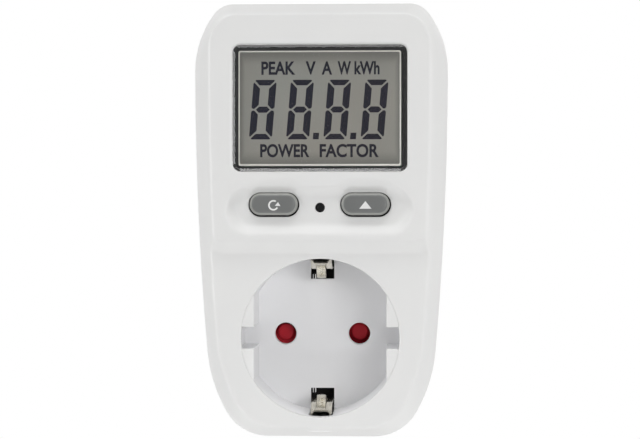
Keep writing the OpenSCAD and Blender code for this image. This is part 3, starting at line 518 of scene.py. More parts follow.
def film_finish(name, colour, warm, rim, bright, dull, bump, **fixed):
    """Film of two near tones with a rim tone of painted shade near the frame, and its roughness from
    bright to dull.
    """
    tones = {"Colour": (*colour, 1.0), "Warm": (*warm, 1.0), "Border": (*rim, 1.0)}
    return surface(name, film, {**tones, "Bright": bright, "Dull": dull}, bump, **fixed)


# The polariser's darker rim tone is painted shade near the frame.
polariser = film_finish(
    "polariser_grey", (0.235, 0.233, 0.213), (0.255, 0.238, 0.209), (0.16, 0.155, 0.14),
    0.45, 0.6, 0.05, Specular_IOR_Level=0.1,
)
ink = film_finish(
    "segment_dark", (0.009, 0.0085, 0.018), (0.014, 0.011, 0.019), (0.012, 0.011, 0.02),
    0.45, 0.6, 0.03, Specular_IOR_Level=0.05,
)
cell = film_finish(
    "cell_glass_edge", (0.72, 0.71, 0.65), (0.66, 0.65, 0.59), (0.74, 0.72, 0.66), 0.15, 0.3, 0.02
)
cell_profile = [(-0.1, CELL_FRONT), (0.0, -54.34), (0.0, -52.26), (-0.06, -52.2)]
bm = bmesh.new()
stacked_plate(bm, partial(round_rect, *CELL), cell_profile)
add_piece("display_cell", bm, "case", "display_glass", cell, "lcd_glass")
film_profile = [(-0.04, FILM_FRONT), (0.0, -54.46), (0.0, CELL_FRONT)]
bm = bmesh.new()
stacked_plate(bm, partial(round_rect, *FILM), film_profile)
add_piece("display_polariser", bm, "case", "display_glass", polariser)


def slab(bm, points, front, back):
    """Plate of one flat shape between two depths; returns its front and back vertices."""
    return close_stack(bm, [put(bm, points, front), put(bm, points, back)])


DIGIT_Z, DIGIT_PITCH, FIRST_DIGIT_X, LEAN = 56.44, 9.2, -14.14, 0.084
w, h = 2.85, 7.35
bar = [
    (-2.2, h), (2.2, h), (2.42, h - 0.22), (1.3, h - 1.36), (-1.3, h - 1.36), (-2.42, h - 0.22),
]
post = [
    (w, h - 0.9), (w - 0.24, h - 0.66), (1.12, h - 2.16), (1.12, 1.2), (2.1, 0.22), (2.5, 0.22),
    (w, 0.57),
]
dash = [(-1.72, 0), (-0.98, 0.74), (0.98, 0.74), (1.72, 0), (0.98, -0.74), (-0.98, -0.74)]
point = [(-0.72, -0.8), (0.72, -0.8), (0.72, 0.8), (-0.72, 0.8)]
bm = bmesh.new()


def segment(shape, cx, cz, sx=1, sz=1):
    """Leaning dark field on the polariser, mirrored by its signs."""
    placed = [(cx + sx * x + LEAN * (sz * z), cz + sz * z) for x, z in shape]
    slab(bm, placed, SIGN_FRONT, FILM_FRONT)


for i in range(4):
    cx = FIRST_DIGIT_X + DIGIT_PITCH * i
    for sz in (1, -1):
        segment(bar, cx, DIGIT_Z, 1, sz)
    segment(dash, cx, DIGIT_Z)
    for sx, sz in ((1, 1), (1, -1), (-1, 1), (-1, -1)):
        segment(post, cx, DIGIT_Z, sx, sz)
for cx in (-1.0, 8.2):
    segment(point, cx, 49.9)
add_piece("display_digits", bm, "case", "display_glass", ink)


def display_word(name, text, x, z, height, width):
    """Row sign of the display, set in plain capitals and squeezed to a given width."""
    curve = bpy.data.curves.new(name, "FONT")
    curve.body = text
    curve.extrude = 0.01
    curve.offset = 0.03
    obj = bpy.data.objects.new(name, curve)
    bpy.context.scene.collection.objects.link(obj)
    bpy.context.view_layer.update()
    shaped = obj.evaluated_get(bpy.context.evaluated_depsgraph_get())
    mesh = bpy.data.meshes.new_from_object(shaped)
    bpy.data.objects.remove(obj)
    xs = [v.co.x for v in mesh.vertices]
    zs = [v.co.y for v in mesh.vertices]
    wide, tall = width / (max(xs) - min(xs)), height / (max(zs) - min(zs))
    middle, thick = (SIGN_FRONT + FILM_FRONT) / 2, 0.75
    for v in mesh.vertices:
        px = x + (v.co.x - (max(xs) + min(xs)) / 2) * wide
        pz = z + (v.co.y - (max(zs) + min(zs)) / 2) * tall
        v.co = (px * MM, (middle - v.co.z * thick) * MM, pz * MM)
    mesh.materials.clear()
    mesh.materials.append(ink)
    obj = bpy.data.objects.new(name, mesh)
    bpy.context.scene.collection.objects.link(obj)
    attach(obj, "case")


UPPER_ROW, LOWER_ROW, SIGN_HEIGHT = 66.7, 46.3, 3.3
for name, text, x, z, width in (
    ("peak", "PEAK", -10.3, UPPER_ROW, 8.4),
    ("volt", "V", -2.3, UPPER_ROW, 2.5),
    ("ampere", "A", 1.7, UPPER_ROW, 2.6),
    ("watt", "W", 6.0, UPPER_ROW, 3.3),
    ("energy", "kWh", 11.6, UPPER_ROW, 6.2),
    ("power", "POWER", -8.7, LOWER_ROW, 12.2),
    ("factor", "FACTOR", 7.2, LOWER_ROW, 14.6),
):
    display_word("display_sign_" + name, text, x, z, SIGN_HEIGHT, width)


# Keys
# Two grey oval caps moulded in ABS with a rounded rim, on black rubber skirts with a flange and a
# post behind. White signs are pad printed on top; each cap slides in its opening onto a switch.
# The rim is painted a lighter grey than the face as a painted highlight, and the skirts' black also
# stands in as painted shade in the gap round each cap.
MODE_X, UP_X, KEY_Z, KEY_WIDTH, KEY_HEIGHT = -11.4, 11.22, 33.1, 11.95, 5.5
POST_Z, POST_RADIUS, PRINT_FRONT, PRINT_BACK = 32.9, 1.8, -57.36, -57.3
# Lighter grey of the rim: painted highlight on the rounded rim of each cap.
rim_highlight_grey = plastic(
    "key_rim_painted_highlight", (0.30, 0.305, 0.285), (0.275, 0.28, 0.265), 0.3, 0.42, 2200.0, 0.1
)
grey = plastic(
    "key_face_satin", (0.168, 0.173, 0.170), (0.155, 0.16, 0.157), 0.32, 0.45, 2200.0, 0.1
)
# Black of the skirts: partly their own rubber, partly painted shade in the gap round each cap.
skirt_black_gap_shade = plastic(
    "skirt_rubber_gap_shade", (0.008, 0.008, 0.008), (0.012, 0.012, 0.012), 0.7, 0.85, 1600.0, 0.2
)
print_white = plastic(
    "print_white", (0.82, 0.82, 0.81), (0.78, 0.78, 0.77), 0.35, 0.5, 3000.0, 0.05
)
cap_profile = [
    (-0.62, -57.14), (-0.5, -57.12), (-0.36, -57.04), (-0.13, -56.76), (-0.04, -56.54),
    (0.0, -56.3), (0.0, -55.95),
]
face_profile = [(-2.2, -57.34), (-1.2, -57.32), (-0.72, -57.26), (-0.58, -57.14)]
skirt_profile = [(-0.06, -55.95), (-0.06, -54.2), (0.94, -54.2), (0.94, -53.4)]
post_profile = [(0.0, -53.4), (0.0, -52.5), (-0.1, -52.4)]
for x, body, node in ((MODE_X, "mode_key", "mode_button"), (UP_X, "up_key", "up_button")):
    outline = partial(oval, x, KEY_Z, KEY_WIDTH, KEY_HEIGHT)
    bm = bmesh.new()
    stacked_plate(bm, outline, cap_profile)
    add_piece(node + "_cap", bm, body, "key_grey", rim_highlight_grey, node)
    bm = bmesh.new()
    stacked_plate(bm, outline, face_profile)
    add_piece(node + "_face", bm, body, "key_grey", grey)
    bm = bmesh.new()
    stacked_plate(bm, outline, skirt_profile)
    stacked_plate(bm, partial(circle, x, POST_Z, POST_RADIUS, 40), post_profile)
    add_piece(node + "_skirt", bm, body, "black_plastic", skirt_black_gap_shade)

turned = arc(MODE_X, 32.8, 1.3, 55, 335, 40) + arc(MODE_X, 32.8, 0.9, 335, 55, 40)
head = [(MODE_X + 1.75, 32.62), (MODE_X + 1.12, 33.6), (MODE_X + 0.35, 32.66)]
raised = [(UP_X - 1.5, 31.95), (UP_X + 1.5, 31.95), (UP_X, 33.85)]
for name, body, shapes in (
    ("mode_sign", "mode_key", (turned, head)), ("up_sign", "up_key", (raised,))
):
    bm = bmesh.new()
    for shape in shapes:
        slab(bm, shape, PRINT_FRONT, PRINT_BACK)
    add_piece(name, bm, body, "label_grey", print_white)


# Switches and reset pin
# Small push switches in black housings, soldered to the board, with round plungers.
# The reset pin is a longer plunger that ends in a dimple under its hole in the dish.
def dress(material, *names):
    """Gives shown CAD nodes a material of this scene."""
    for name in names:
        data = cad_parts[name].data
        data.materials.clear()
        data.materials.append(material)


dress(black, "mode_switch", "mode_plunger", "up_switch", "up_plunger")
dress(black, "reset_switch", "reset_plunger")


# Socket cup
# White round recess of heat-resistant plastic with guide ribs on both sides and slots for the earth
# clips. Its flange is staked to the front cover; the floor with the pin holes is let in from behind.
CUP_RADIUS, COLLAR_RADIUS, SLOT_HALF = 20.9, 23.4, 3.0
CUP_BACK, CUP_FRONT, COLLAR_FRONT = -31.3, -52.6, -53.5
NOTCH_X, NOTCH_HALF = 20.0, 2.7
RIB_X, RIB_RADIUS, LAND_FRONT, LAND_BACK, RIB_BACK = 16.4, 19.58, -55.4, -54.2, -38.0
# Its white is painted lighter than the cover's: painted light that brightens the deep recess, its
# ribs and guides.
socket_white = plastic(
    "socket_satin_painted_fill", (0.905, 0.905, 0.915), (0.89, 0.89, 0.90), 0.36, 0.48, 2400.0, 0.1
)


def turn_to(off, r):
    """Angle in degrees at which a circle is a given distance off its axis."""
    return math.degrees(math.asin(off / r))


slot_out, slot_in = turn_to(SLOT_HALF, CUP_RADIUS), turn_to(SLOT_HALF, RECESS_RADIUS)
notch = turn_to(NOTCH_HALF, RECESS_RADIUS)
half_cup = arc(0, 0, CUP_RADIUS, -90 + slot_out, 90 - slot_out, 60, True)
half_cup += arc(0, 0, RECESS_RADIUS, 90 - slot_in, notch, 30, True)
half_cup += [(NOTCH_X, NOTCH_HALF), (NOTCH_X, -NOTCH_HALF)]
half_cup += arc(0, 0, RECESS_RADIUS, -notch, -90 + slot_in, 30, True)
bm = bmesh.new()
for sx in (1, -1):
    slab(bm, [(sx * x, z) for x, z in half_cup], CUP_FRONT, CUP_BACK)
collar = [
    (RECESS_RADIUS, COLLAR_FRONT), (COLLAR_RADIUS, COLLAR_FRONT),
    (COLLAR_RADIUS, CUP_FRONT), (RECESS_RADIUS, CUP_FRONT),
]
bridge(bm, [put(bm, circle(0, 0, r, 120), y) for r, y in collar], closed=True)
add_piece("socket_cup_wall", bm, "case", "socket_white", socket_white, "socket_cup")


def rib_bar(bm, points, front_depth, back_depth, soft):
    """Bar of a flat shape between two depths, with its front and long edges softened."""
    before = set(bm.edges)
    front, back = slab(bm, points, front_depth, back_depth)
    if not soft:
        return
    corners = [front[0], front[1], front[-1], back[0], back[1], back[-1]]
    edges = [e for e in bm.edges if e not in before and all(v in corners for v in e.verts)]
    edges = [e for e in edges if not all(v in back for v in e.verts)]
    bmesh.ops.bevel(
        bm, geom=edges, offset=soft * MM, segments=3, profile=0.5, affect="EDGES",
        clamp_overlap=True,
    )


rib_start = turn_to(NOTCH_HALF, RIB_RADIUS)
rib_end = math.degrees(math.acos(RIB_X / RIB_RADIUS))
rib = [(RIB_X, NOTCH_HALF)] + arc(0, 0, RIB_RADIUS, rib_start, rib_end, 16, True)
for name, near, far, soft, finish in (
    ("socket_lands", LAND_FRONT, LAND_BACK, 0.22, white),
    ("socket_ribs", LAND_BACK, RIB_BACK, 0.0, socket_white),
):
    bm = bmesh.new()
    for sx, sz in ((1, 1), (1, -1), (-1, 1), (-1, -1)):
        rib_bar(bm, [(sx * x, sz * z) for x, z in rib], near, far, soft)
    add_piece(name, bm, "case", "socket_white", finish)
dress(socket_white, "socket_floor")


# Safety shutter
# Red two-armed piece of acetal that turns on a stud behind the recess floor and shuts both pin holes.
# A round nub with a sloped top fills each hole; two pins together push it aside, and a wire spring
# brings it back.
NUB_X, NUB_Z, NUB_RADIUS, NUB_FRONT, NUB_SLOPE, NUB_BACK = 9.5, 0.25, 2.15, -35.44, 0.2, -32.8
red = plastic(
    "shutter_satin", (0.44, 0.014, 0.026), (0.38, 0.011, 0.021), 0.35, 0.5, 1500.0, 0.1,
    Specular_IOR_Level=0.2,
)
dress(red, "safety_shutter")
bm = bmesh.new()
for sx in (1, -1):
    levels = []
    for grow, back in ((-1.3, 0.0), (-0.4, 0.02), (-0.16, 0.08), (-0.04, 0.2), (0.0, 0.4)):
        flat = circle(sx * NUB_X, NUB_Z, NUB_RADIUS, 48, grow)
        slopes = [NUB_SLOPE * (1.0 - sx * (z - NUB_Z) / NUB_RADIUS) for x, z in flat]
        levels.append(put(bm, flat, [NUB_FRONT + slope + back for slope in slopes]))
    levels.append(put(bm, circle(sx * NUB_X, NUB_Z, NUB_RADIUS, 48), NUB_BACK))
    close_stack(bm, levels)
add_piece("shutter_nubs", bm, "shutter", "shutter_red", red)


# Earth clips and strap
# Spring bronze strip, pressed to shape and nickel plated; the middle tongue of each clip bears on
# the plug. Both clips stand on one strap behind the carrier that also reaches into the plug.
CLIP_ROWS, MOUTH_ROW, ROOT_ROW, HALF_SHEET = 58, 50, 15, 0.275
ROOT_Y, CLIP_RUN, MOUTH_Y, ARCH_Y = -31.35, 18.2, -49.55, -49.95
LEG_Z, SET_IN, TURN_OUT, TONGUE_HALF = 18.5, 1.45, 2.3, 1.2
metal, given, made = finish_group(
    "drawn_metal", Colour=COLOUR, Shade=COLOUR, Bright=VALUE, Dull=VALUE, Streak=VALUE
)
place = metal.nodes.new("ShaderNodeTexCoord").outputs["Object"]
stretch = metal.nodes.new("ShaderNodeMapping")
stretch.inputs["Scale"].default_value = (1.0, 0.06, 1.0)
metal.links.new(place, stretch.inputs["Vector"])
streak = noise(metal, stretch.outputs["Vector"], given["Streak"], 3.0)
tarnish = spread(metal, noise(metal, place, 420.0, 4.0), 0.0, 1.0)
metal.links.new(blend(metal, tarnish, given["Colour"], given["Shade"]), made["Colour"])
metal.links.new(spread(metal, streak, given["Bright"], given["Dull"]), made["Roughness"])
metal.links.new(streak, made["Height"])


def metal_finish(name, colour, shade, bright, dull, streak):
    """Drawn metal of two near tones, with its roughness from bright to dull and its streaks."""
    tones = {"Colour": (*colour, 1.0), "Shade": (*shade, 1.0)}
    settings = {**tones, "Bright": bright, "Dull": dull, "Streak": streak}
    return surface(name, metal, settings, 0.012, Metallic=1.0)


nickel = metal_finish("nickel_plate", (0.80, 0.77, 0.68), (0.68, 0.65, 0.56), 0.16, 0.3, 2600.0)
dress(nickel, "earth_strap")


def swell(t):
    """Soft rise from 0 to 1 as t goes from 0 to 1."""
    return 0.5 - 0.5 * math.cos(math.pi * min(max(t, 0.0), 1.0))


def leg_height(y):
    """Height of the clip's legs: set in behind the floor, straight past it, turned out in front."""
    turned_out = TURN_OUT * max((-45.2 - y) / 6.2, 0.0) ** 1.7
    return LEG_Z - SET_IN * swell((-33.0 - y) / 4.0) + turned_out


def clip_point(x, row, bow):
    """Depth and height of the sheet's middle in a row, from the root to the mouth and its arch."""
    if row > MOUTH_ROW:
        horn = 1.4 * swell((abs(x) - 1.5) / 0.7)
        arch = ARCH_Y - horn + 0.5 * max((abs(x) - 2.3) / 0.4, 0.0) ** 2
        y = MOUTH_Y + (arch - MOUTH_Y) * (row - MOUTH_ROW) / (CLIP_ROWS - MOUTH_ROW)
    else:
        y = ROOT_Y - CLIP_RUN * row / MOUTH_ROW
    tongue = 0.0
    if abs(x) < TONGUE_HALF:
        tongue = bow * swell((row - ROOT_ROW) / 20) * swell((MOUTH_ROW - row) / 12)
    return y, leg_height(y) - tongue * (1.0 - 0.06 * (x / 1.15) ** 2)


def clip_sheet(side, bow):
    """Closed sheet with a tongue cut free on both sides between its root and its mouth."""
    bm = bmesh.new()
    xs = [-2.5, -2.35, -2.15, -1.9, -1.65, -1.28, -1.14, -0.6, 0.0]
    xs += [0.6, 1.14, 1.28, 1.65, 1.95, 2.25, 2.5, 2.75]
    slits = (5, 10)
    grid = []
    for x in xs:
        column = []
        for row in range(CLIP_ROWS + 1):
            y, z = clip_point(x, row, bow)
            ya, za = clip_point(x, max(row - 1, 0), bow)
            yb, zb = clip_point(x, min(row + 1, CLIP_ROWS), bow)
            run = math.hypot(yb - ya, zb - za)
            ny, nz = -HALF_SHEET * (zb - za) / run, HALF_SHEET * (yb - ya) / run
            faces = [(y + s * ny, side * (z + s * nz)) for s in (1, -1)]
            column.append([bm.verts.new((x * MM, yy * MM, zz * MM)) for yy, zz in faces])
        grid.append(column)

    def solid(c, row):
        """True where the strip has metal: on the sheet and not in a slit."""
        on_sheet = 0 <= c < len(xs) - 1 and 0 <= row < CLIP_ROWS
        return on_sheet and not (c in slits and ROOT_ROW <= row < MOUTH_ROW)

    for c in range(len(xs) - 1):
        for row in range(CLIP_ROWS):
            if not solid(c, row):
                continue
            ring = [grid[c][row], grid[c + 1][row], grid[c + 1][row + 1], grid[c][row + 1]]
            for s in (0, 1):
                bm.faces.new([p[s] for p in ring])
            around = (solid(c, row - 1), solid(c + 1, row), solid(c, row + 1), solid(c - 1, row))
            for i, covered in enumerate(around):
                if not covered:
                    a, b = ring[i], ring[(i + 1) % 4]
                    bm.faces.new((a[0], b[0], b[1], a[1]))
    return bm


for side, bow, body, node in (
    (1, 2.35, "top_clip", "earth_clip_top"), (-1, 1.7, "bottom_clip", "earth_clip_bottom")
):
    bm = clip_sheet(side, bow)
    clip = add_piece(node + "_strip", bm, body, "nickel", nickel, node)
    broken = clip.modifiers.new("broken_edges", "BEVEL")
    broken.width = 0.00007
    broken.segments = 2
    broken.limit_method = "ANGLE"
    broken.angle_limit = math.radians(50)
GUIDE_LOW, GUIDE_HIGH = 14.02, 15.2
bm = bmesh.new()
for side in (1, -1):
    low, high = side * GUIDE_LOW, side * GUIDE_HIGH
    for x0, x1 in ((-2.5, -2.35), (-1.93, -1.73)):
        slab(bm, [(x0, low), (x1, low), (x1, high), (x0, high)], -37.9, -36.0)
add_piece("slot_guides", bm, "case", "socket_white", socket_white)


# Rear cover
# White half shell of the same ABS with the round plug body moulded on; its sides are drawn in to
# leave the mould. Four deep holes take the case screws, and a shallow panel holds the label.
REAR_Y, REAR_SPLIT_Y, REAR_ROUND, SIDE_DRAFT, FACE_INSET = -17.0, -36.95, 2.4, 0.8, 3.2
PLUG_RADIUS, PLUG_FLAT_X, PLUG_RIB_X, CHANNEL_HALF, CHANNEL_Z = 18.3, 16.1, 18.14, 2.9, 16.4
SCREWS = [(22.0, 76.6), (-22.0, 76.6), (16.62, -18.0), (-16.62, -18.0)]
SCREW_HOLE, SCREW_FOOT, COLUMN_RADIUS, COLUMN_FOOT, CEILING_Y = 2.5, -33.5, 3.2, -36.0, -19.0
LABEL_PANEL, LABEL_Y = (0, 52, 34, 22, 1.5), -17.4
bm = bmesh.new()
rings = [
    put(bm, case_ring(LIP_INSET, False), REAR_SPLIT_Y),
    put(bm, case_ring(0, False), REAR_SPLIT_Y + LIP_DEPTH),
    put(bm, case_ring(SIDE_DRAFT, False), REAR_Y - REAR_ROUND),
]
for angle in range(10, 91, 10):
    turn = math.radians(angle)
    flat = case_ring(FACE_INSET - REAR_ROUND * math.cos(turn), False)
    rings.append(put(bm, flat, REAR_Y - REAR_ROUND * (1 - math.sin(turn))))
bridge(bm, rings)


def plug_outline(limit):
    """Outline of the plug body within a radius: side flats, guide ribs and two earth channels."""
    corner = math.degrees(math.acos(PLUG_FLAT_X / PLUG_RADIUS))
    mouth = math.degrees(math.acos(CHANNEL_HALF / PLUG_RADIUS))
    quarter = [(PLUG_RIB_X, 0.0), (PLUG_RIB_X, 2.4), (PLUG_FLAT_X, 2.4), (PLUG_FLAT_X, 5.5)]
    quarter += arc(0, 0, PLUG_RADIUS, corner, mouth, 18, True)
    quarter += [(CHANNEL_HALF, CHANNEL_Z), (0.0, CHANNEL_Z)]
    right = [(x, -z) for x, z in reversed(quarter[1:])] + quarter
    outline = right + [(-x, z) for x, z in reversed(right[1:-1])]
    shares = [min(1, limit / math.hypot(x, z)) for x, z in outline]
    return [(x * share, z * share) for (x, z), share in zip(outline, shares)]


plug = plug_outline(19.0)


def in_plug(x, z):
    """Negative inside the plug's outline, positive outside it."""
    inside = False
    for (x0, z0), (x1, z1) in zip(plug, plug[1:] + plug[:1]):
        if (z0 > z) != (z1 > z) and x < (x1 - x0) * (z - z0) / (z1 - z0) + x0:
            inside = not inside
    return -1.0 if inside else 1.0


flat = case_ring(FACE_INSET, False)
field, depths, loops = list(flat), [REAR_Y] * len(flat), [list(range(len(flat)))]
plug_loop = lay(plug, lambda x, z: REAR_Y)
loops.append(plug_loop)
holes = [in_plug]
screw_loops = []
for cx, cz in SCREWS:
    for gap in (0.3, 0.12, 0.03, 0.0):
        rim = circle(cx, cz, SCREW_HOLE, 40, gap)
        loops.append(lay(rim, lambda x, z: REAR_Y - fillet(gap, 0.3)))
    screw_loops.append(loops[-1])
    holes.append(partial(circle_gap, cx, cz, SCREW_HOLE))
for gap in (0.5, 0.12, 0.03, 0.0):
    label_loop = lay(round_rect(*LABEL_PANEL, gap), lambda x, z: REAR_Y - fillet(gap, 0.12))
    loops.append(label_loop)
holes.append(partial(rect_gap, *LABEL_PANEL))
back = rings[-1] + put(bm, field[len(flat):], depths[len(flat):])
for face in triangles(field, loops, holes):
    bm.faces.new([back[i] for i in face])
plug_levels = [[back[i] for i in plug_loop]]
for y, limit in (
    (-1.35, 18.3), (-1.1, 18.27), (-0.85, 18.12), (-0.2, 17.45), (-0.05, 17.27), (0.0, 17.05)
):
    plug_levels.append(put(bm, plug_outline(limit), y))
bridge(bm, plug_levels)
bm.faces.new(plug_levels[-1])
for loop, (cx, cz) in zip(screw_loops, SCREWS):
    foot = put(bm, circle(cx, cz, SCREW_HOLE, 40), SCREW_FOOT)
    bridge(bm, [[back[i] for i in loop], foot])
    bm.faces.new(foot)
sunk = put(bm, round_rect(*LABEL_PANEL), LABEL_Y)
bridge(bm, [[back[i] for i in label_loop], sunk])
bm.faces.new(sunk)

flat = case_ring(2.6, False)
lining = [rings[0], put(bm, case_ring(WALL, False), REAR_SPLIT_Y), put(bm, flat, CEILING_Y)]
bridge(bm, lining)
field, depths, loops = list(flat), [CEILING_Y] * len(flat), [list(range(len(flat)))]
columns = [circle(cx, cz, COLUMN_RADIUS, 40) for cx, cz in SCREWS]
column_loops = [lay(column, lambda x, z: CEILING_Y) for column in columns]
loops += column_loops
ceiling = lining[-1] + put(bm, field[len(flat):], CEILING_Y)
holes = [partial(circle_gap, cx, cz, COLUMN_RADIUS) for cx, cz in SCREWS]
for face in triangles(field, loops, holes):
    bm.faces.new([ceiling[i] for i in face])
for loop, column in zip(column_loops, columns):
    foot = put(bm, column, COLUMN_FOOT)
    bridge(bm, [[ceiling[i] for i in loop], foot])
    bm.faces.new(foot)
add_piece("rear_cover_shell", bm, "case", "white_plastic", white, "rear_cover")
label_film = plastic("label_film", (0.60, 0.61, 0.62), (0.57, 0.58, 0.59), 0.35, 0.5, 800.0, 0.08)
dress(label_film, "rating_label")


# Plug pins and contacts
# Brass pins turned to 4.8 mm with rounded tips and nickel plated, riveted to brass sleeves inside.
# The line side runs through a folded strip of resistance alloy that measures the current.
pin_metal = metal_finish("pin_plate", (0.74, 0.73, 0.69), (0.68, 0.66, 0.61), 0.16, 0.28, 1800.0)
brass = metal_finish("brass_sheet", (0.70, 0.50, 0.20), (0.60, 0.41, 0.15), 0.25, 0.4, 2200.0)
alloy = metal_finish("shunt_strip", (0.55, 0.27, 0.14), (0.47, 0.22, 0.11), 0.3, 0.45, 2200.0)
steel = metal_finish("zinc_steel", (0.45, 0.45, 0.45), (0.38, 0.38, 0.39), 0.25, 0.4, 1500.0)
wire = metal_finish("spring_wire", (0.55, 0.55, 0.55), (0.46, 0.46, 0.47), 0.18, 0.3, 3000.0)
dress(pin_metal, "line_pin", "neutral_pin")
dress(brass, "line_contact", "neutral_contact")
dress(alloy, "shunt")
dress(steel, "case_screws", "board_screws", "carrier_screws")
dress(wire, "shutter_spring")
dress(black, "contact_carrier")


# Board and its parts
# Green lacquered board with the metering chip, capacitors, backup cell and varistor on its rear side.
# Two insulated leads bring it the mains voltage from the sleeves.
board = plastic("board_lacquer", (0.03, 0.18, 0.08), (0.02, 0.13, 0.06), 0.2, 0.32, 700.0, 0.1)
yellow = plastic("film_box", (0.60, 0.45, 0.06), (0.55, 0.40, 0.05), 0.2, 0.3, 900.0, 0.05)
navy = plastic("can_sleeve", (0.02, 0.03, 0.12), (0.03, 0.04, 0.14), 0.15, 0.25, 900.0, 0.05)
green = plastic("cell_sleeve", (0.05, 0.25, 0.10), (0.04, 0.21, 0.08), 0.15, 0.25, 900.0, 0.05)
blue = plastic("varistor_dip", (0.03, 0.12, 0.40), (0.02, 0.10, 0.34), 0.18, 0.3, 1100.0, 0.2)
rubber = plastic("strip_rubber", (0.60, 0.30, 0.35), (0.52, 0.25, 0.30), 0.6, 0.75, 2000.0, 0.2)
brown_lead = plastic(
    "lead_brown_pvc", (0.15, 0.06, 0.03), (0.12, 0.05, 0.025), 0.4, 0.5, 1500.0, 0.1
)
blue_lead = plastic(
    "lead_blue_pvc", (0.03, 0.09, 0.40), (0.025, 0.075, 0.34), 0.4, 0.5, 1500.0, 0.1
)
dress(board, "main_board")
dress(black, "metering_chip")
dress(yellow, "film_capacitor")
dress(navy, "filter_capacitor")
dress(green, "backup_battery")
dress(blue, "varistor")
dress(rubber, "zebra_strips")
dress(brown_lead, "line_lead")
dress(blue_lead, "neutral_lead")


# Studio
# Plain pale floor well below the meter and a white surround, with soft lamps above, in front, at
# both sides and behind, and two low strips under the meter. The camera stands a little to the right.
FLOOR_PLACE, FLOOR_RADIUS, FLOOR_CLEAR, FLOOR_WHITE = (0.0, -0.03, -0.16), 0.5, 0.04, 0.22
WHITE_LIGHT, ROOM_LIGHT = (1.0, 1.0, 1.0, 1.0), 0.25
floor_mesh = bpy.data.meshes.new("floor")
bm = bmesh.new()
bmesh.ops.create_circle(bm, cap_ends=True, segments=96, radius=FLOOR_RADIUS)
bm.to_mesh(floor_mesh)
bm.free()
floor = bpy.data.objects.new("floor", floor_mesh)
floor.location = FLOOR_PLACE
bpy.context.scene.collection.objects.link(floor)
floor_paint = bpy.data.materials.new("floor_paper")
floor_paint.use_nodes = True
tree = floor_paint.node_tree
paper = tree.nodes["Principled BSDF"]
paper.inputs["Base Color"].default_value = (0.86, 0.86, 0.86, 1.0)
paper.inputs["Roughness"].default_value = 0.9
glow = tree.nodes.new("ShaderNodeEmission")
away = tree.nodes.new("ShaderNodeVectorMath")
away.operation = "LENGTH"
tree.links.new(tree.nodes.new("ShaderNodeTexCoord").outputs["Object"], away.inputs[0])


def either_ray(tree, *labels):
    """Value of 1 for the kinds of ray that are named, and 0 for all others."""
    rays = tree.nodes.new("ShaderNodeLightPath")
    found = rays.outputs[labels[0]]
    for label in labels[1:]:
        found = combine(tree, "MAXIMUM", found, rays.outputs[label])
    return found


def mix_shaders(tree, factor, a, b):
    """Shader between two others, by a factor."""
    node = tree.nodes.new("ShaderNodeMixShader")
    tree.links.new(factor, node.inputs["Fac"])
    tree.links.new(a, node.inputs[1])
    tree.links.new(b, node.inputs[2])
    return node.outputs["Shader"]


fade = ramp(tree, away.outputs["Value"], FLOOR_CLEAR, FLOOR_WHITE)
plain_rays = either_ray(tree, "Is Camera Ray", "Is Glossy Ray", "Is Transmission Ray")
shown = combine(tree, "MULTIPLY", fade, plain_rays)
faded = mix_shaders(tree, shown, paper.outputs["BSDF"], glow.outputs["Emission"])
tree.links.new(faded, tree.nodes["Material Output"].inputs["Surface"])
floor_mesh.materials.append(floor_paint)
floor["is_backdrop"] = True

world = bpy.data.worlds.new("studio")
bpy.context.scene.world = world
world.use_nodes = True
tree = world.node_tree
room = tree.nodes["Background"]
mirrored = tree.nodes.new("ShaderNodeBackground")
sheet = tree.nodes.new("ShaderNodeBackground")
for light in (room, mirrored, sheet):
    light.inputs["Color"].default_value = WHITE_LIGHT
room.inputs["Strength"].default_value = ROOM_LIGHT
ahead = tree.nodes.new("ShaderNodeSeparateXYZ")
tree.links.new(tree.nodes.new("ShaderNodeTexCoord").outputs["Generated"], ahead.inputs["Vector"])
dim = tree.nodes.new("ShaderNodeMapRange")
for label, value in (("From Min", -0.75), ("From Max", 0.4), ("To Min", 0.22), ("To Max", 1.0)):
    dim.inputs[label].default_value = value
tree.links.new(ahead.outputs["Y"], dim.inputs["Value"])
tree.links.new(dim.outputs["Result"], mirrored.inputs["Strength"])
gloss = either_ray(tree, "Is Glossy Ray", "Is Transmission Ray")
lit = mix_shaders(tree, gloss, room.outputs["Background"], mirrored.outputs["Background"])
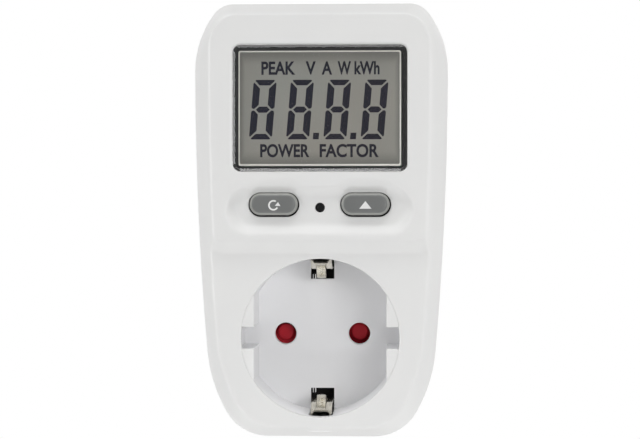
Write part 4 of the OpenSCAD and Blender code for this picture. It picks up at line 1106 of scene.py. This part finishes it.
seen = mix_shaders(tree, either_ray(tree, "Is Camera Ray"), lit, sheet.outputs["Background"])
tree.links.new(seen, tree.nodes["World Output"].inputs["Surface"])


def lamp(name, place, aim, size, watts):
    """Soft rectangular lamp at a place, turned to an aim."""
    data = bpy.data.lights.new(name, "AREA")
    data.shape = "RECTANGLE"
    data.size, data.size_y = size
    data.energy = watts
    obj = bpy.data.objects.new(name, data)
    obj.location = place
    obj.rotation_euler = (Vector(place) - Vector(aim)).to_track_quat("Z", "Y").to_euler()
    bpy.context.scene.collection.objects.link(obj)


middle = (0.0, -0.045, 0.03)
lamp("softbox_high", (0.0, -0.3, 0.6), middle, (0.6, 0.3), 2.0)
lamp("softbox_front", (0.45, -0.85, 0.12), middle, (0.4, 0.3), 2.38)
lamp("side_left", (-0.6, -0.06, 0.05), middle, (0.1, 0.2), 0.7)
lamp("side_right", (0.6, -0.06, 0.05), middle, (0.1, 0.2), 0.75)
lamp("strip_left", (-0.6, -0.435, 0.097), middle, (0.2, 0.29), 0.93)
lamp("strip_low", (0.0, -0.212, -0.15), middle, (0.12, 0.0085), 0.02)
lamp("strip_under", (0.0, -0.1, -0.15), (0.0, -0.0565, 0.025), (0.16, 0.03), 0.042)
lamp("softbox_back", (0.07, 0.77, 0.11), middle, (0.5, 0.3), 1.1)

CAMERA_AIM, CAMERA_DISTANCE = (0.0, -0.0555, 0.0293), 0.42
camera_data = bpy.data.cameras.new("camera")
camera_data.sensor_width = 36.0
camera_data.lens = 95.7
camera_data.clip_start = 0.01
camera = bpy.data.objects.new("camera", camera_data)
turn, rise = math.radians(2.2), math.radians(0.1)
level = math.cos(rise)
toward = Vector((math.sin(turn) * level, -math.cos(turn) * level, math.sin(rise)))
camera.location = Vector(CAMERA_AIM) + CAMERA_DISTANCE * toward
camera.rotation_euler = toward.to_track_quat("Z", "Y").to_euler()
bpy.context.scene.collection.objects.link(camera)
bpy.context.scene.camera = camera
bpy.context.scene.view_settings.view_transform = "Standard"

low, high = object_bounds()
